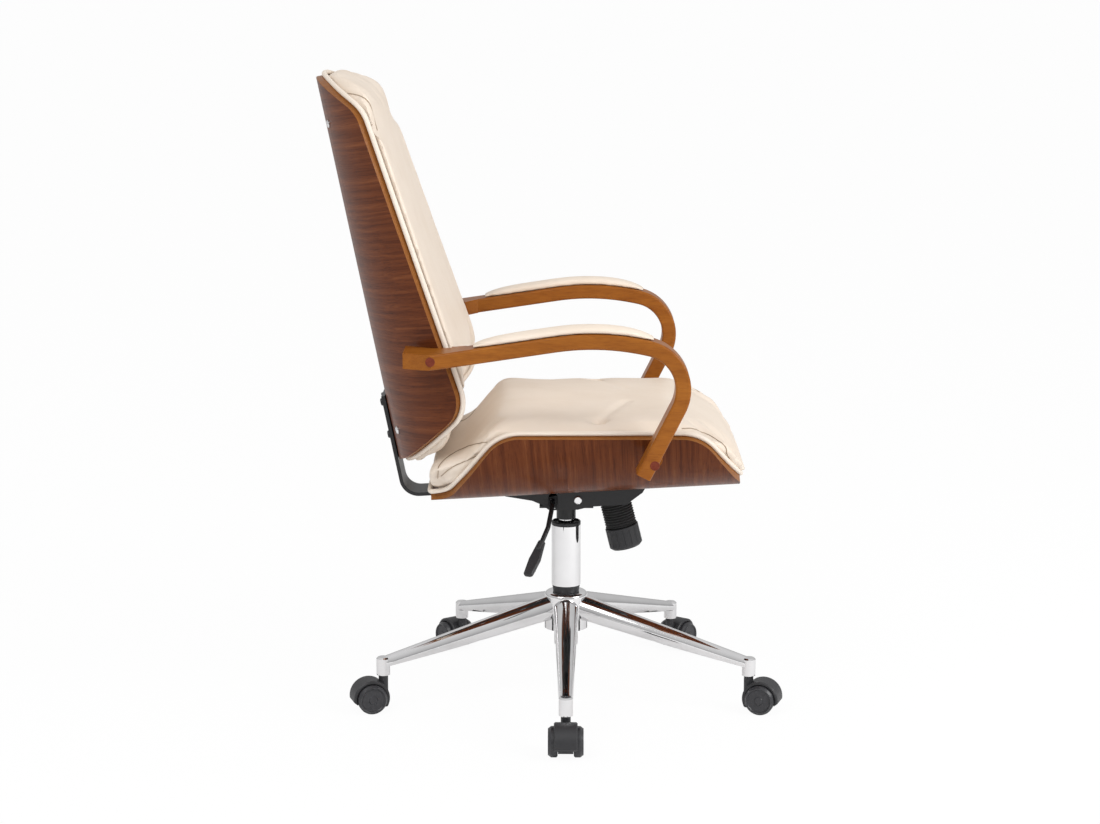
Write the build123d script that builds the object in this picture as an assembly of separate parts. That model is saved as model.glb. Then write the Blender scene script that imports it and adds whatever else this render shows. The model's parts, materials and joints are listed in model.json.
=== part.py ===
from build123d import *
import math
import os

# Swivel office chair: two moulded plywood shells with leather cushions, bentwood arms,
# a centre tilt mechanism, a gas column and a five-legged base on twin wheel casters.
# Millimetres. The origin is on the floor on the column axis. +X is the front, +Y the sitter's left.

# Clearances
RUN = 0.05               # radial, a shaft in its bore
REST = 0.3               # between pieces that lie on each other
CUSHION_GAP = 0.6        # soft piece to its shell

# Star base
LEG_COUNT = 5
FIRST_LEG = -90.0        # degrees, direction of the first leg
LEG_REACH = 325.0        # column axis to caster stem
LEG_ROOT_TOP = 174.0
LEG_ROOT_BOTTOM = 127.0
LEG_TIP_TOP = 92.0
LEG_TIP_BOTTOM = 76.0
LEG_ROOT_WIDTH = 42.0
LEG_TIP_WIDTH = 22.0
LEG_WALL = 3.0
HUB_R = 37.0
HUB_BOTTOM = 118.0
HUB_TOP = 182.0
SOCKET_R = 11.5
SOCKET_BOTTOM = 61.5
RING_TOP_R = 24.0        # black taper of the column above the hub
RING_FOOT_R = 22.0
RING_HEIGHT = 12.0

# Casters
WHEEL_R = 25.0
WHEEL_WIDTH = 15.5
WHEEL_SPACE = 26.0       # between the two wheels
CASTER_TRAIL = 24.0
HOOD_WIDTH = 38.0
HOOD_RISE = 6.0          # hood radius beyond the wheel
HOOD_WALL = 4.6
HOOD_CLEAR = 10.0        # lowest edge of the hood above the floor
NECK_R = 8.0
STEM_R = 5.0
STEM_LENGTH = 25.0       # inside the socket
AXLE_R = 3.0

# Column and gas spring
COLUMN_R = 25.0
SHANK_R = 20.0           # column inside the hub
COLUMN_WALL = 3.0
COLUMN_BOTTOM = 88.0
COLUMN_TOP = 300.0
COLUMN_FLOOR = 5.0
COLLAR_LIP = 6.0
GUIDE_LENGTH = 70.0
CYLINDER_R = 14.0
CYLINDER_WALL = 2.0
CYLINDER_PLUG = 9.0      # solid ends of the gas cylinder
CYLINDER_TOP = 343.0
LIFT_STROKE = 95.0
ROD_R = 5.0
BEARING_R = 9.5
BEARING_HEIGHT = 4.0
BUTTON_R = 4.0

# Seat tilt and mechanism
SEAT_TILT = 3.2          # degrees, front up
SEAT_BOTTOM = 376.0      # seat shell underside on the column axis
PIVOT_X = 19.9
PIVOT_Z = 358.4
PIVOT_R = 5.0
PIVOT_TUBE_R = 8.0
PLATE = 3.0              # stamped steel of the tilt housing
BRACKET_PLATE = 4.0
HOUSING_HALF = 75.0
HOUSING_REAR = -103.0
HOUSING_FRONT = 132.0
HOUSING_DEPTH = 35.5
BRACKET_HALF = 56.0
BRACKET_FLOOR = 340.0
BRACKET_REAR = -45.0
BRACKET_NECK_X = 46.0
ARM_HALF = 36.0          # half width of the bracket's spring arm
TAPER_R = 16.5
TAPER_BOTTOM = 310.0
TILT_RANGE = 12.0
HEAD_R = 6.5
HEAD_HEIGHT = 4.0

# Height lever
LEVER_R = 4.0
LEVER_X = -23.0
LEVER_Z = 352.0
LEVER_PIVOT_Y = -54.0
LEVER_PIN_R = 1.2
LEVER_PIN = 22.0         # length of the cross pin in the bracket's ear
PADDLE_LENGTH = 68.0
PADDLE_WIDTH = 19.0
PADDLE_THICK = 7.0
BUTTON_GAP = 0.5

# Tilt tension
KNOB_LEAN = 13.9         # degrees, foot of the knob towards the front
KNOB_TOP_X = 75.0
KNOB_TOP_Z = 377.0
SPRING_SEAT = 27.5       # along the tension axis, from its top to the bracket's underside
KNOB_START = 82.0
KNOB_LENGTH = 38.0
KNOB_R = 28.5
KNOB_CUP_R = 22.5
KNOB_FLOOR = 9.0
KNOB_RIDGES = 16
BELLOWS_R = 27.0
BELLOWS_WALL = 1.6
BELLOWS_FOLD = 2.2
BELLOWS_RIBS = 12
SPRING_R = 20.5
SPRING_WIRE = 5.0

# Seat shell: flat centre, a round bend on each side, trimmed in side view
PLY = 13.0
SEAT_FLAT = 80.0
SEAT_BEND_R = 180.0
SEAT_REAR = -224.0
SEAT_FRONT = 288.0
SEAT_RIM_Z = 501.0
SEAT_RIM_REAR = -100.0
SEAT_RIM_FRONT = 224.0
SEAT_END_RISE = 16.0
SEAT_HEEL = 30.0         # level stretch of the edge behind the rear slope
SEAT_HEEL_ROUND = 50.0
SEAT_RIM_ROUND = 65.0

# Back shell: part of a cylinder, leaning back, trimmed in side view
BACK_LEAN = 11.5
BACK_FOOT_X = -320.4     # rearmost line at the height below
BACK_FOOT_Z = 600.0
BACK_R = 300.0
BACK_TOP = 470.0
BACK_TOP_BOW = 330.0     # radius of the top edge, seen from the front
BACK_BOTTOM = -183.0
WING_TOP = 408.0
WING_TOP_DEPTH = 77.0
WING_LOW = -88.0
WING_LOW_DEPTH = 145.0
WING_ROUND = 56.0
BACK_EDGE_DEPTH = 14.0

# Back bracket
BAR_WIDTH = 72.0
BAR_THICK = 6.0
BAR_BEND = 30.0
BAR_TOP = -73.0
BAR_FRONT = -112.0
RIB_WIDTH = 16.0
RIB_HEIGHT = 2.5

# Arms
ARM_INNER = 260.0
ARM_WIDTH = 48.0
ARM_THICK = 24.5
ARM_EDGE = 4.0
ARM_REAR = (-258.0, 630.3)
ARM_KNEE = (-212.0, 630.3)
ARM_CROWN = (53.5, 669.9)
ARM_NOSE = (216.7, 635.2)
ARM_FOOT = (122.4, 446.8)
ARM_BENDS = (120.0, 400.0, 68.0)
ARM_FLARE_X = -158.0     # inner face turns in towards the back shell behind this point
ARM_FLARE = 26.0
ARM_TAIL_X = -212.0      # outer face turns in behind this point
ARM_TAIL = 24.0
REAR_BOLT = (-213.7, 632.0)
FRONT_BOLT = (140.4, 466.4)
ARM_BOLT_R = 4.0
PLUG_R = 7.5
PLUG_DEPTH = 5.0
SPACER_R = 14.0

# Arm pads
PAD_REAR_X = -145.0
PAD_FRONT_X = 150.0
PAD_HALF = 23.0
PAD_EDGE = 8.0
PAD_CROWN = 13.0
PAD_STEPS = 16

# Cushions
SEAT_CROWN = 524.0
SEAT_CUSHION_RIM = 510.0
CUSHION_REAR = -229.0
CUSHION_FRONT = 303.0
SEAT_HEEL_TOP = 430.0
SEAT_HOLLOW = (-166.0, 456.0)    # foot of the slope behind the top
SEAT_TOP_REAR = -109.0
SEAT_TOP_FRONT = 140.0
SEAT_BROW = (222.0, 503.0)       # front roll, from the top down
SEAT_NOSE = (262.0, 481.0)
SEAT_BELLY = 424.0
TUFT_X = 52.0
TUFT_Y = 196.0
TUFT_R = 42.0
TUFT_DEPTH = 12.0
BACK_CUSHION_PROUD = 7.0
BACK_CUSHION_CROWN = 18.0
BACK_ROLL_DROP = 6.0     # lower roll below the shell's edge
BACK_ROLL_DEPTH = 104.0
BACK_RIM_DROP = 15.0
HEADREST_LOW = 370.0
HEADREST_TOP = 478.0
HEADREST_DEPTH = 107.0
HEADREST_HALF = 206.0
HEADREST_CROWN = 20.0
HEADREST_DROP = 80.0     # fall of the top edge from its middle to its ends

# Visible screws
SCREW_R = 6.5
SCREW_HEAD = 3.0
SCREW_SHANK_R = 2.5
SCREW_SHANK = 9.0
BACK_SCREWS = ((394.0, 84.0), (-123.0, 100.0))
SEAT_SCREWS = (-165.0, 232.0)
SEAT_SCREW_Y = 66.0
BACK_BAR_BOLTS = (-88.0, -145.0)
SEAT_BAR_BOLTS = (-150.0, -205.0)
HOUSING_BOLTS = ((-86.0, 58.0), (116.0, 58.0))

seat_plane = Plane(
    (0, 0, SEAT_BOTTOM),
    x_dir=(math.cos(math.radians(SEAT_TILT)), 0, math.sin(math.radians(SEAT_TILT))),
    z_dir=(-math.sin(math.radians(SEAT_TILT)), 0, math.cos(math.radians(SEAT_TILT))),
)
back_plane = Plane(
    (BACK_FOOT_X, 0, BACK_FOOT_Z),
    x_dir=(math.cos(math.radians(BACK_LEAN)), 0, math.sin(math.radians(BACK_LEAN))),
    z_dir=(-math.sin(math.radians(BACK_LEAN)), 0, math.cos(math.radians(BACK_LEAN))),
)
knob_plane = Plane(
    (KNOB_TOP_X, 0, KNOB_TOP_Z),
    x_dir=(math.cos(math.radians(KNOB_LEAN)), 0, math.sin(math.radians(KNOB_LEAN))),
    z_dir=(math.sin(math.radians(KNOB_LEAN)), 0, -math.cos(math.radians(KNOB_LEAN))),
)
FAR = 700.0              # longer than any piece, for cutting tools


def save(name, *solids):
    shape = solids[0] if len(solids) == 1 else Compound(children=list(solids))
    export_step(shape, f"parts/{name}.step")


def upright(radius, bottom, top, x=0.0, y=0.0):
    return Pos(x, y, bottom) * Cylinder(radius, top - bottom, align=(Align.CENTER, Align.CENTER, Align.MIN))


def crosswise(radius, start, end, x, z):
    # cylinder along Y between two Y values
    rod = Rot(-90, 0, 0) * Cylinder(radius, end - start, align=(Align.CENTER, Align.CENTER, Align.MIN))
    return Pos(x, start, z) * rod


def side_prism(points, rounds=None):
    # closed outline in XZ, carried right across the part; rounds gives a radius for chosen corners
    outline = Polyline(*points, close=True)
    face = make_face(Plane.XZ * outline)
    for index, radius in (rounds or {}).items():
        x, z = points[index]
        corner = face.vertices().sort_by_distance((x, 0, z))[0]
        face = fillet(corner, radius)
    return extrude(face, FAR, both=True)


def mirrored(shape):
    return mirror(shape, about=Plane.XZ)


def on_plane(plane, shape):
    return plane.location * shape


# Star base

def leg_cone(inset, start, end):
    # tapered round bar from one distance along the leg to another, its top on the leg's top line
    rise = LEG_TIP_TOP - LEG_TIP_WIDTH / 2 - LEG_ROOT_TOP + LEG_ROOT_WIDTH / 2
    taper = (LEG_TIP_WIDTH - LEG_ROOT_WIDTH) / 2 / (LEG_REACH - HUB_R)
    slope = rise / (LEG_REACH - HUB_R)
    foot = Vector(start, 0, LEG_ROOT_TOP - LEG_ROOT_WIDTH / 2 + slope * (start - HUB_R))
    radii = [LEG_ROOT_WIDTH / 2 + taper * (r - HUB_R) - inset for r in (start, end)]
    length = (end - start) * math.hypot(1, slope)
    bar = Cone(*radii, length, align=(Align.CENTER, Align.CENTER, Align.MIN))
    return on_plane(Plane(foot, x_dir=(0, 1, 0), z_dir=(1, 0, slope)), bar)


def leg():
    # the bar is cut flat below and hollowed from there
    fall = (LEG_TIP_BOTTOM - LEG_ROOT_BOTTOM) / (LEG_REACH - HUB_R)
    under = Polyline(
        (0, LEG_ROOT_BOTTOM - fall * HUB_R), (LEG_REACH + 40, LEG_TIP_BOTTOM + fall * 40),
        (LEG_REACH + 40, -50), (0, -50), close=True)
    floor = extrude(Plane.XZ * make_face(under), 100, both=True)
    inner_end = LEG_REACH - SOCKET_R - LEG_WALL
    solid = leg_cone(0, HUB_R / 2, LEG_REACH) - floor
    hollow = leg_cone(LEG_WALL, HUB_R + LEG_WALL, inner_end) - Pos(0, 0, -2 * LEG_WALL) * floor
    socket = upright(SOCKET_R, SOCKET_BOTTOM, LEG_TIP_TOP, LEG_REACH)
    socket = chamfer(socket.edges().group_by(Axis.Z)[-1], 2.5)
    return (solid - hollow) + socket


def star_base():
    hub = upright(HUB_R, HUB_BOTTOM, HUB_TOP)
    hub = fillet(hub.edges().group_by(Axis.Z)[-1], 7)
    bore = upright(SHANK_R + RUN, 0, FAR)
    one_leg = leg()
    solid = hub
    for i in range(LEG_COUNT):
        solid += Rot(0, 0, FIRST_LEG + i * 360 / LEG_COUNT) * one_leg
    solid -= bore
    stem_hole = upright(STEM_R + RUN, SOCKET_BOTTOM - 1, SOCKET_BOTTOM + STEM_LENGTH + 1, LEG_REACH)
    for i in range(LEG_COUNT):
        solid -= Rot(0, 0, FIRST_LEG + i * 360 / LEG_COUNT) * stem_hole
    return solid


def base_ring():
    ring = Cone(RING_FOOT_R, RING_TOP_R, RING_HEIGHT, align=(Align.CENTER, Align.CENTER, Align.MIN))
    return Pos(0, 0, HUB_TOP) * ring - upright(SHANK_R + RUN, 0, FAR)


# Column and gas spring

GUIDE_BOTTOM = COLUMN_TOP - GUIDE_LENGTH
FLOOR_TOP = COLUMN_BOTTOM + COLUMN_FLOOR
BEARING_TOP = FLOOR_TOP + BEARING_HEIGHT
SHOULDER_TOP = BEARING_TOP + 4
CYLINDER_BOTTOM = SHOULDER_TOP + 3
BORE_BOTTOM = CYLINDER_BOTTOM + CYLINDER_PLUG
BORE_TOP = CYLINDER_TOP - CYLINDER_PLUG
PISTON_BOTTOM = BORE_BOTTOM + LIFT_STROKE + 3
PISTON_TOP = PISTON_BOTTOM + 12
CLIP_HEIGHT = 2.0
CLIP_TOP = COLUMN_BOTTOM - REST


def column_tube():
    foot = HUB_TOP + RING_HEIGHT
    tube = upright(COLUMN_R, foot, COLUMN_TOP)
    tube = chamfer(tube.edges().group_by(Axis.Z)[-1], 1)
    tube += upright(SHANK_R, COLUMN_BOTTOM, foot + COLUMN_WALL)
    tube -= upright(COLUMN_R - COLUMN_WALL, foot + COLUMN_WALL, FAR)
    tube -= upright(SHANK_R - COLUMN_WALL, FLOOR_TOP, FAR)
    return tube - upright(ROD_R + RUN, 0, FAR)


def column_collar():
    lip = upright(COLUMN_R, COLUMN_TOP, COLUMN_TOP + COLLAR_LIP)
    lip = chamfer(lip.edges().group_by(Axis.Z)[-1], 1.5)
    lip -= upright(COLUMN_R - COLUMN_WALL, COLUMN_TOP + COLLAR_LIP / 2, FAR)
    sleeve = upright(COLUMN_R - COLUMN_WALL - RUN, GUIDE_BOTTOM, COLUMN_TOP)
    return lip + sleeve - upright(CYLINDER_R + RUN, 0, FAR)


def thrust_bearing():
    return upright(BEARING_R, FLOOR_TOP, BEARING_TOP) - upright(ROD_R + RUN, 0, FAR)


def piston_rod():
    rod = upright(ROD_R, CLIP_TOP - CLIP_HEIGHT - 2, PISTON_TOP)
    rod += upright(ROD_R + 2, BEARING_TOP + RUN, SHOULDER_TOP)
    return rod + upright(CYLINDER_R - CYLINDER_WALL - RUN, PISTON_BOTTOM, PISTON_TOP)


def column_clip():
    ring = upright(ROD_R + 4, CLIP_TOP - CLIP_HEIGHT, CLIP_TOP)
    return ring - upright(ROD_R + RUN, 0, FAR)


def gas_cylinder():
    body = upright(CYLINDER_R, CYLINDER_BOTTOM, CYLINDER_TOP)
    body = chamfer(body.edges().group_by(Axis.Z)[-1], 1.5)
    body -= upright(CYLINDER_R - CYLINDER_WALL, BORE_BOTTOM, BORE_TOP)
    body -= upright(ROD_R + RUN, 0, BORE_BOTTOM + 1)
    return body - upright(BUTTON_R + RUN, BORE_TOP - 1, FAR)


def release_button():
    top = LEVER_Z - LEVER_R - BUTTON_GAP
    pin = upright(BUTTON_R, BORE_TOP + 1, top)
    return chamfer(pin.edges().group_by(Axis.Z)[-1], 0.8)


# Tilt mechanism

def tension_cylinder(radius, start, end):
    rod = Pos(0, 0, start) * Cylinder(radius, end - start, align=(Align.CENTER, Align.CENTER, Align.MIN))
    return on_plane(knob_plane, rod)


def lever_pin(grow):
    # cross pin that the height lever turns on, held in the bracket's ear
    pin = Rot(0, 90, 0) * Cylinder(LEVER_PIN_R + grow, LEVER_PIN + 2 * grow)
    return Pos(LEVER_X, LEVER_PIVOT_Y, LEVER_Z) * pin


def hub_bracket():
    floor = Polyline(
        (BRACKET_REAR, -BRACKET_HALF), (BRACKET_NECK_X, -BRACKET_HALF),
        (BRACKET_NECK_X, BRACKET_HALF), (BRACKET_REAR, BRACKET_HALF), close=True)
    solid = extrude(Pos(0, 0, BRACKET_FLOOR) * make_face(floor), BRACKET_PLATE)
    ear = Polyline(
        (BRACKET_REAR + 8, BRACKET_FLOOR), (BRACKET_NECK_X, BRACKET_FLOOR),
        (PIVOT_X + 12, PIVOT_Z + 8), (PIVOT_X - 10, PIVOT_Z + 8),
        (BRACKET_REAR + 8, PIVOT_Z - 1), close=True)
    ear_solid = Pos(0, BRACKET_HALF, 0) * extrude(Plane.XZ * make_face(ear), BRACKET_PLATE)
    solid += ear_solid + mirrored(ear_solid)
    # spring arm, square to the tension axis
    reach = 38.0
    arm = Pos(-4, 0, SPRING_SEAT - BRACKET_PLATE / 2) * Box(2 * reach, 2 * ARM_HALF, BRACKET_PLATE)
    arm = fillet(arm.edges().filter_by(Axis.Z).group_by(Axis.X)[-1], 12)
    slot = Pos(3.5, 0, SPRING_SEAT) * extrude(SlotOverall(27, 13), 2 * BRACKET_PLATE, both=True)
    solid += on_plane(knob_plane, arm)
    solid -= on_plane(knob_plane, slot)
    taper = upright(TAPER_R, TAPER_BOTTOM, BRACKET_FLOOR + BRACKET_PLATE)
    solid += chamfer(taper.edges().group_by(Axis.Z)[0], 1)
    solid += crosswise(PIVOT_TUBE_R, -BRACKET_HALF, BRACKET_HALF, PIVOT_X, PIVOT_Z)
    solid -= crosswise(PIVOT_R + RUN, -FAR, FAR, PIVOT_X, PIVOT_Z)
    solid -= upright(CYLINDER_R + RUN, 0, CYLINDER_TOP + 2 * BRACKET_PLATE)
    solid -= lever_pin(RUN)
    return solid - crosswise(LEVER_R + 0.5, -FAR, 0, LEVER_X, LEVER_Z)


def housing_bolt_axes():
    return [(u, side * v) for u, v in HOUSING_BOLTS for side in (-1, 1)]


def tilt_housing():
    profile = [
        (HOUSING_REAR, 0), (HOUSING_REAR, -6), (HOUSING_REAR + 45, -16), (-42, -24),
        (-30, -HOUSING_DEPTH + 1.5), (18, -HOUSING_DEPTH), (38, -31.5), (HOUSING_FRONT - 32, -31),
        (HOUSING_FRONT - 4, -12), (HOUSING_FRONT, -6), (HOUSING_FRONT, 0)]
    face = make_face(Plane.XZ * Polyline(*profile, close=True))
    solid = extrude(face, HOUSING_HALF, both=True)
    inside = Box(FAR, 2 * (HOUSING_HALF - PLATE), 100, align=(Align.CENTER, Align.CENTER, Align.MAX))
    solid -= Pos(0, 0, -PLATE) * inside
    for u, v in housing_bolt_axes():
        solid -= Pos(u, v, 0) * Cylinder(SCREW_SHANK_R + RUN, 3 * PLATE)
    solid = on_plane(seat_plane, solid)
    solid += tension_cylinder(9, 0, 10) & on_plane(seat_plane, Pos(0, 0, -PLATE) * inside)
    solid -= tension_cylinder(PIVOT_R + RUN, -PLATE + 1, 20)
    solid -= crosswise(PIVOT_R + RUN, -FAR, FAR, PIVOT_X, PIVOT_Z)
    slot = extrude(Plane.XZ * SlotOverall(28, 16, rotation=90), PLATE * 2, both=True)
    return solid - Pos(LEVER_X + 1, -HOUSING_HALF, LEVER_Z + 4.5) * slot


def pivot_bolt():
    head = crosswise(HEAD_R, -HOUSING_HALF - HEAD_HEIGHT, -HOUSING_HALF, PIVOT_X, PIVOT_Z)
    head = chamfer(head.edges().group_by(Axis.Y)[0], 1.2)
    return head + crosswise(PIVOT_R, -HOUSING_HALF, HOUSING_HALF + HEAD_HEIGHT + 2, PIVOT_X, PIVOT_Z)


def pivot_nut():
    hexagon = extrude(Plane.XZ * RegularPolygon(HEAD_R + 1.5, 6), -HEAD_HEIGHT)
    hexagon -= crosswise(PIVOT_R + RUN, -FAR, FAR, 0, 0)
    return Pos(PIVOT_X, HOUSING_HALF, PIVOT_Z) * hexagon


def housing_bolts():
    bolts = []
    for u, v in housing_bolt_axes():
        bolt = Pos(0, 0, -PLATE - HEAD_HEIGHT / 2) * Cylinder(HEAD_R - 1, HEAD_HEIGHT)
        bolt += Pos(0, 0, -PLATE) * Cylinder(
            SCREW_SHANK_R, PLATE + SCREW_SHANK, align=(Align.CENTER, Align.CENTER, Align.MIN))
        bolts.append(on_plane(seat_plane, Pos(u, v, 0) * bolt))
    return bolts


# Tension spring, boot and knob

def tension_bolt():
    return tension_cylinder(PIVOT_R, 0, KNOB_START + KNOB_LENGTH - 4)


def tension_spring():
    # close wound, so its coils read as one sleeve between the bracket and the knob's cup
    foot = KNOB_START + KNOB_LENGTH - KNOB_FLOOR - REST
    sleeve = tension_cylinder(SPRING_R, SPRING_SEAT + REST, foot)
    return sleeve - tension_cylinder(SPRING_R - SPRING_WIRE, 0, FAR)


def tension_bellows():
    start = SPRING_SEAT + REST
    pitch = (KNOB_START - REST - start) / BELLOWS_RIBS
    end = KNOB_START - REST
    bore = BELLOWS_R - BELLOWS_FOLD - BELLOWS_WALL
    outline = [(bore, start)]
    for i in range(BELLOWS_RIBS):
        valley = start + i * pitch
        outline += [(BELLOWS_R - BELLOWS_FOLD, valley), (BELLOWS_R, valley + pitch / 2)]
    outline += [(BELLOWS_R - BELLOWS_FOLD, end), (bore, end)]
    face = make_face(Plane.XZ * Polyline(*outline, close=True))
    return on_plane(knob_plane, revolve(face, Axis.Z))


def tension_knob():
    end = KNOB_START + KNOB_LENGTH
    body = upright(KNOB_R, KNOB_START, KNOB_START + KNOB_LENGTH)
    body = chamfer(body.edges().group_by(Axis.Z)[-1], 4)
    body = chamfer(body.edges().group_by(Axis.Z)[0], 1)
    groove = Cylinder(1.3, KNOB_LENGTH - 12, align=(Align.CENTER, Align.CENTER, Align.MIN))
    for place in PolarLocations(KNOB_R + 0.5, KNOB_RIDGES):
        body -= place * Pos(0, 0, KNOB_START + 4) * groove
    cup = KNOB_LENGTH - KNOB_FLOOR
    body -= Pos(0, 0, KNOB_START) * Cylinder(KNOB_CUP_R, cup, align=(Align.CENTER, Align.CENTER, Align.MIN))
    body = on_plane(knob_plane, body)
    return body - tension_cylinder(PIVOT_R + RUN, 0, end - 3.5)


# Height lever

LEVER_ROUTE = (
    (0, 3, LEVER_Z), (0, -9, LEVER_Z), (LEVER_X, -34, LEVER_Z),
    (LEVER_X, -92, LEVER_Z), (-30, -122, 322), (-43, -146, 296))


def lever_rod():
    path = FilletPolyline(*LEVER_ROUTE, radius=11)
    start = Plane(path @ 0, z_dir=path % 0)
    return sweep(start * Circle(LEVER_R), path) + lever_pin(0)


def paddle_plane():
    tip = Vector(*LEVER_ROUTE[-1])
    along = (tip - Vector(*LEVER_ROUTE[-2])).normalized()
    return Plane(tip, x_dir=(-0.72, 0.5, 0.1), z_dir=along)


def lever_handle():
    plane = paddle_plane()
    lead = 8.0
    half = PADDLE_WIDTH / 2
    outline = Polyline(
        (-half * 0.65, -lead), (half * 0.65, -lead), (half, PADDLE_LENGTH * 0.4),
        (half * 0.8, PADDLE_LENGTH - lead),
        (-half * 0.9, PADDLE_LENGTH - lead), (-half * 1.2, PADDLE_LENGTH * 0.4), close=True)
    face = make_face(outline)
    face = fillet(face.vertices().group_by(Axis.Y)[-1], half * 0.55)
    paddle = extrude(Plane.XZ * face, PADDLE_THICK / 2, both=True)
    rims = paddle.faces().sort_by(Axis.Y)
    paddle = chamfer(rims[0].edges() + rims[-1].edges(), PADDLE_THICK * 0.25)
    boss = Pos(0, 0, -lead) * Cylinder(LEVER_R + 2, 2.2 * lead, align=(Align.CENTER, Align.CENTER, Align.MIN))
    paddle += chamfer(boss.edges().group_by(Axis.Z)[-1], 3)
    ridge = Pos(0, PADDLE_THICK / 2, PADDLE_LENGTH * 0.36) * Box(PADDLE_WIDTH * 0.8, 1.6, 1.6)
    for i in range(5):
        paddle += Pos(-1, 0, 5.5 * i) * ridge
    hole = upright(LEVER_R + RUN, -lead - 1, 0)
    return on_plane(plane, paddle - hole)


# Seat shell

def seat_profile_z(u, z):
    # height above the shell's underside plane for a level height z
    return (z - SEAT_BOTTOM) - u * math.tan(math.radians(SEAT_TILT))


def seat_trim():
    rim_rear = seat_profile_z(SEAT_RIM_REAR, SEAT_RIM_Z)
    rim_front = seat_profile_z(SEAT_RIM_FRONT, SEAT_RIM_Z)
    points = [
        (SEAT_REAR, -50), (SEAT_REAR, SEAT_END_RISE + 2), (SEAT_REAR + SEAT_HEEL, SEAT_END_RISE + 6),
        (SEAT_RIM_REAR, rim_rear), (SEAT_RIM_FRONT, rim_front),
        (SEAT_FRONT, SEAT_END_RISE + 8), (SEAT_FRONT, -50)]
    return side_prism(points, {2: SEAT_HEEL_ROUND, 3: SEAT_RIM_ROUND, 4: SEAT_RIM_ROUND})


def seat_surface(inset):
    # faces of the shell's section, inset from its underside: flat centre, right bend, left bend
    run = Vector(SEAT_FRONT - SEAT_REAR + 40, 0, 0)
    start = SEAT_REAR - 20
    flat = Face.extrude(Line((start, -SEAT_FLAT, inset), (start, SEAT_FLAT, inset)).edge(), run)
    bend_plane = Plane((start, SEAT_FLAT, SEAT_BEND_R), x_dir=(0, 1, 0), z_dir=(1, 0, 0))
    bend = bend_plane * CenterArc((0, 0), SEAT_BEND_R - inset, -90, 84)
    left = Face.extrude(bend.edge(), run)
    return flat, left


def outward(face, towards, amount):
    # thicken on the side of the face that looks towards the given point
    middle = face.position_at(0.5, 0.5)
    sign = 1 if face.normal_at(middle).dot(Vector(*towards) - middle) > 0 else -1
    return Solid.thicken(face, sign * amount)


def seat_shell():
    trim = seat_trim()
    flat, left = seat_surface(PLY)
    bottom = outward((flat & trim).faces()[0], (0, 0, -FAR), PLY)
    wing = outward((left & trim).faces()[0], (0, FAR, -FAR), PLY)
    shell = bottom + wing + mirrored(wing)
    shell = on_plane(seat_plane, shell)
    for screw in seat_screw_places():
        shell -= screw_shank(screw, RUN)
    for u, v in housing_bolt_axes():
        shell -= on_plane(seat_plane, Pos(u, v, 0) * Cylinder(SCREW_SHANK_R + RUN, 2 * SCREW_SHANK + 1))
    for u in SEAT_BAR_BOLTS:
        shell -= on_plane(seat_plane, Pos(u, 0, 0) * Cylinder(SCREW_SHANK_R + RUN, 2 * SCREW_SHANK + 1))
    for side in (-1, 1):
        shell -= arm_bolt_hole(FRONT_BOLT, side, ARM_BOLT_R + RUN)
    return shell


def seat_outer_block(grow):
    # everything inside the outer face of the seat shell's section
    half = SEAT_FLAT
    radius = SEAT_BEND_R + grow
    section = Polyline((-half, -grow), (half, -grow))
    section += CenterArc((half, SEAT_BEND_R), radius, -90, 90)
    section += Polyline((half + radius, SEAT_BEND_R), (-half - radius, SEAT_BEND_R))
    section += CenterArc((-half, SEAT_BEND_R), radius, 180, 90)
    across = Plane((SEAT_REAR - 20, 0, 0), x_dir=(0, 1, 0), z_dir=(1, 0, 0))
    block = extrude(across * make_face(section), SEAT_FRONT - SEAT_REAR + 60)
    return on_plane(seat_plane, block)


# Back shell

def back_trim():
    # wings trimmed in side view, top edge bowed in front view
    points = [
        (-60, BACK_BOTTOM), (BACK_EDGE_DEPTH, BACK_BOTTOM), (WING_LOW_DEPTH, WING_LOW),
        (WING_TOP_DEPTH, WING_TOP), (BACK_EDGE_DEPTH, BACK_TOP), (-60, BACK_TOP)]
    wings = side_prism(points, {2: WING_ROUND, 3: WING_ROUND})
    bow = Rot(0, 90, 0) * Cylinder(BACK_TOP_BOW, FAR)
    bow += Box(FAR, 2 * FAR, 2 * FAR, align=(Align.CENTER, Align.CENTER, Align.MAX))
    return wings & Pos(0, 0, BACK_TOP - BACK_TOP_BOW) * bow


def back_shell():
    radius = BACK_R - PLY
    rail = Plane((BACK_R, 0, BACK_BOTTOM - 30))
    arc = rail * CenterArc((0, 0), radius, 105, 75)
    sheet = Face.extrude(arc.edge(), Vector(0, 0, BACK_TOP - BACK_BOTTOM + 60))
    half = outward((sheet & back_trim()).faces()[0], (-FAR, FAR, 0), PLY)
    shell = half + mirrored(half)
    for screw in back_screw_places():
        shell -= screw_shank(screw, RUN)
    for s in BACK_BAR_BOLTS:
        shell -= Pos(0, 0, s) * Rot(0, 90, 0) * Cylinder(SCREW_SHANK_R + RUN, 2 * SCREW_SHANK + 1)
    shell = on_plane(back_plane, shell)
    for side in (-1, 1):
        shell -= arm_bolt_hole(REAR_BOLT, side, ARM_BOLT_R + RUN)
    return shell


def back_outer_block(grow):
    # everything inside the outer face of the back shell, as far forward as its wings
    rod = Pos(BACK_R, 0, 0) * Cylinder(BACK_R + grow, 2 * FAR)
    depth = Box(WING_LOW_DEPTH + 60, 2 * FAR, 2 * FAR, align=(Align.MIN, Align.CENTER, Align.CENTER))
    return on_plane(back_plane, rod & Pos(-60, 0, 0) * depth)


# Screws with a domed head; each place is a plane on the surface with its normal outwards

def screw_shank(place, grow):
    shank = Cylinder(SCREW_SHANK_R + grow, SCREW_SHANK + grow, align=(Align.CENTER, Align.CENTER, Align.MAX))
    return on_plane(place, shank)


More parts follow.
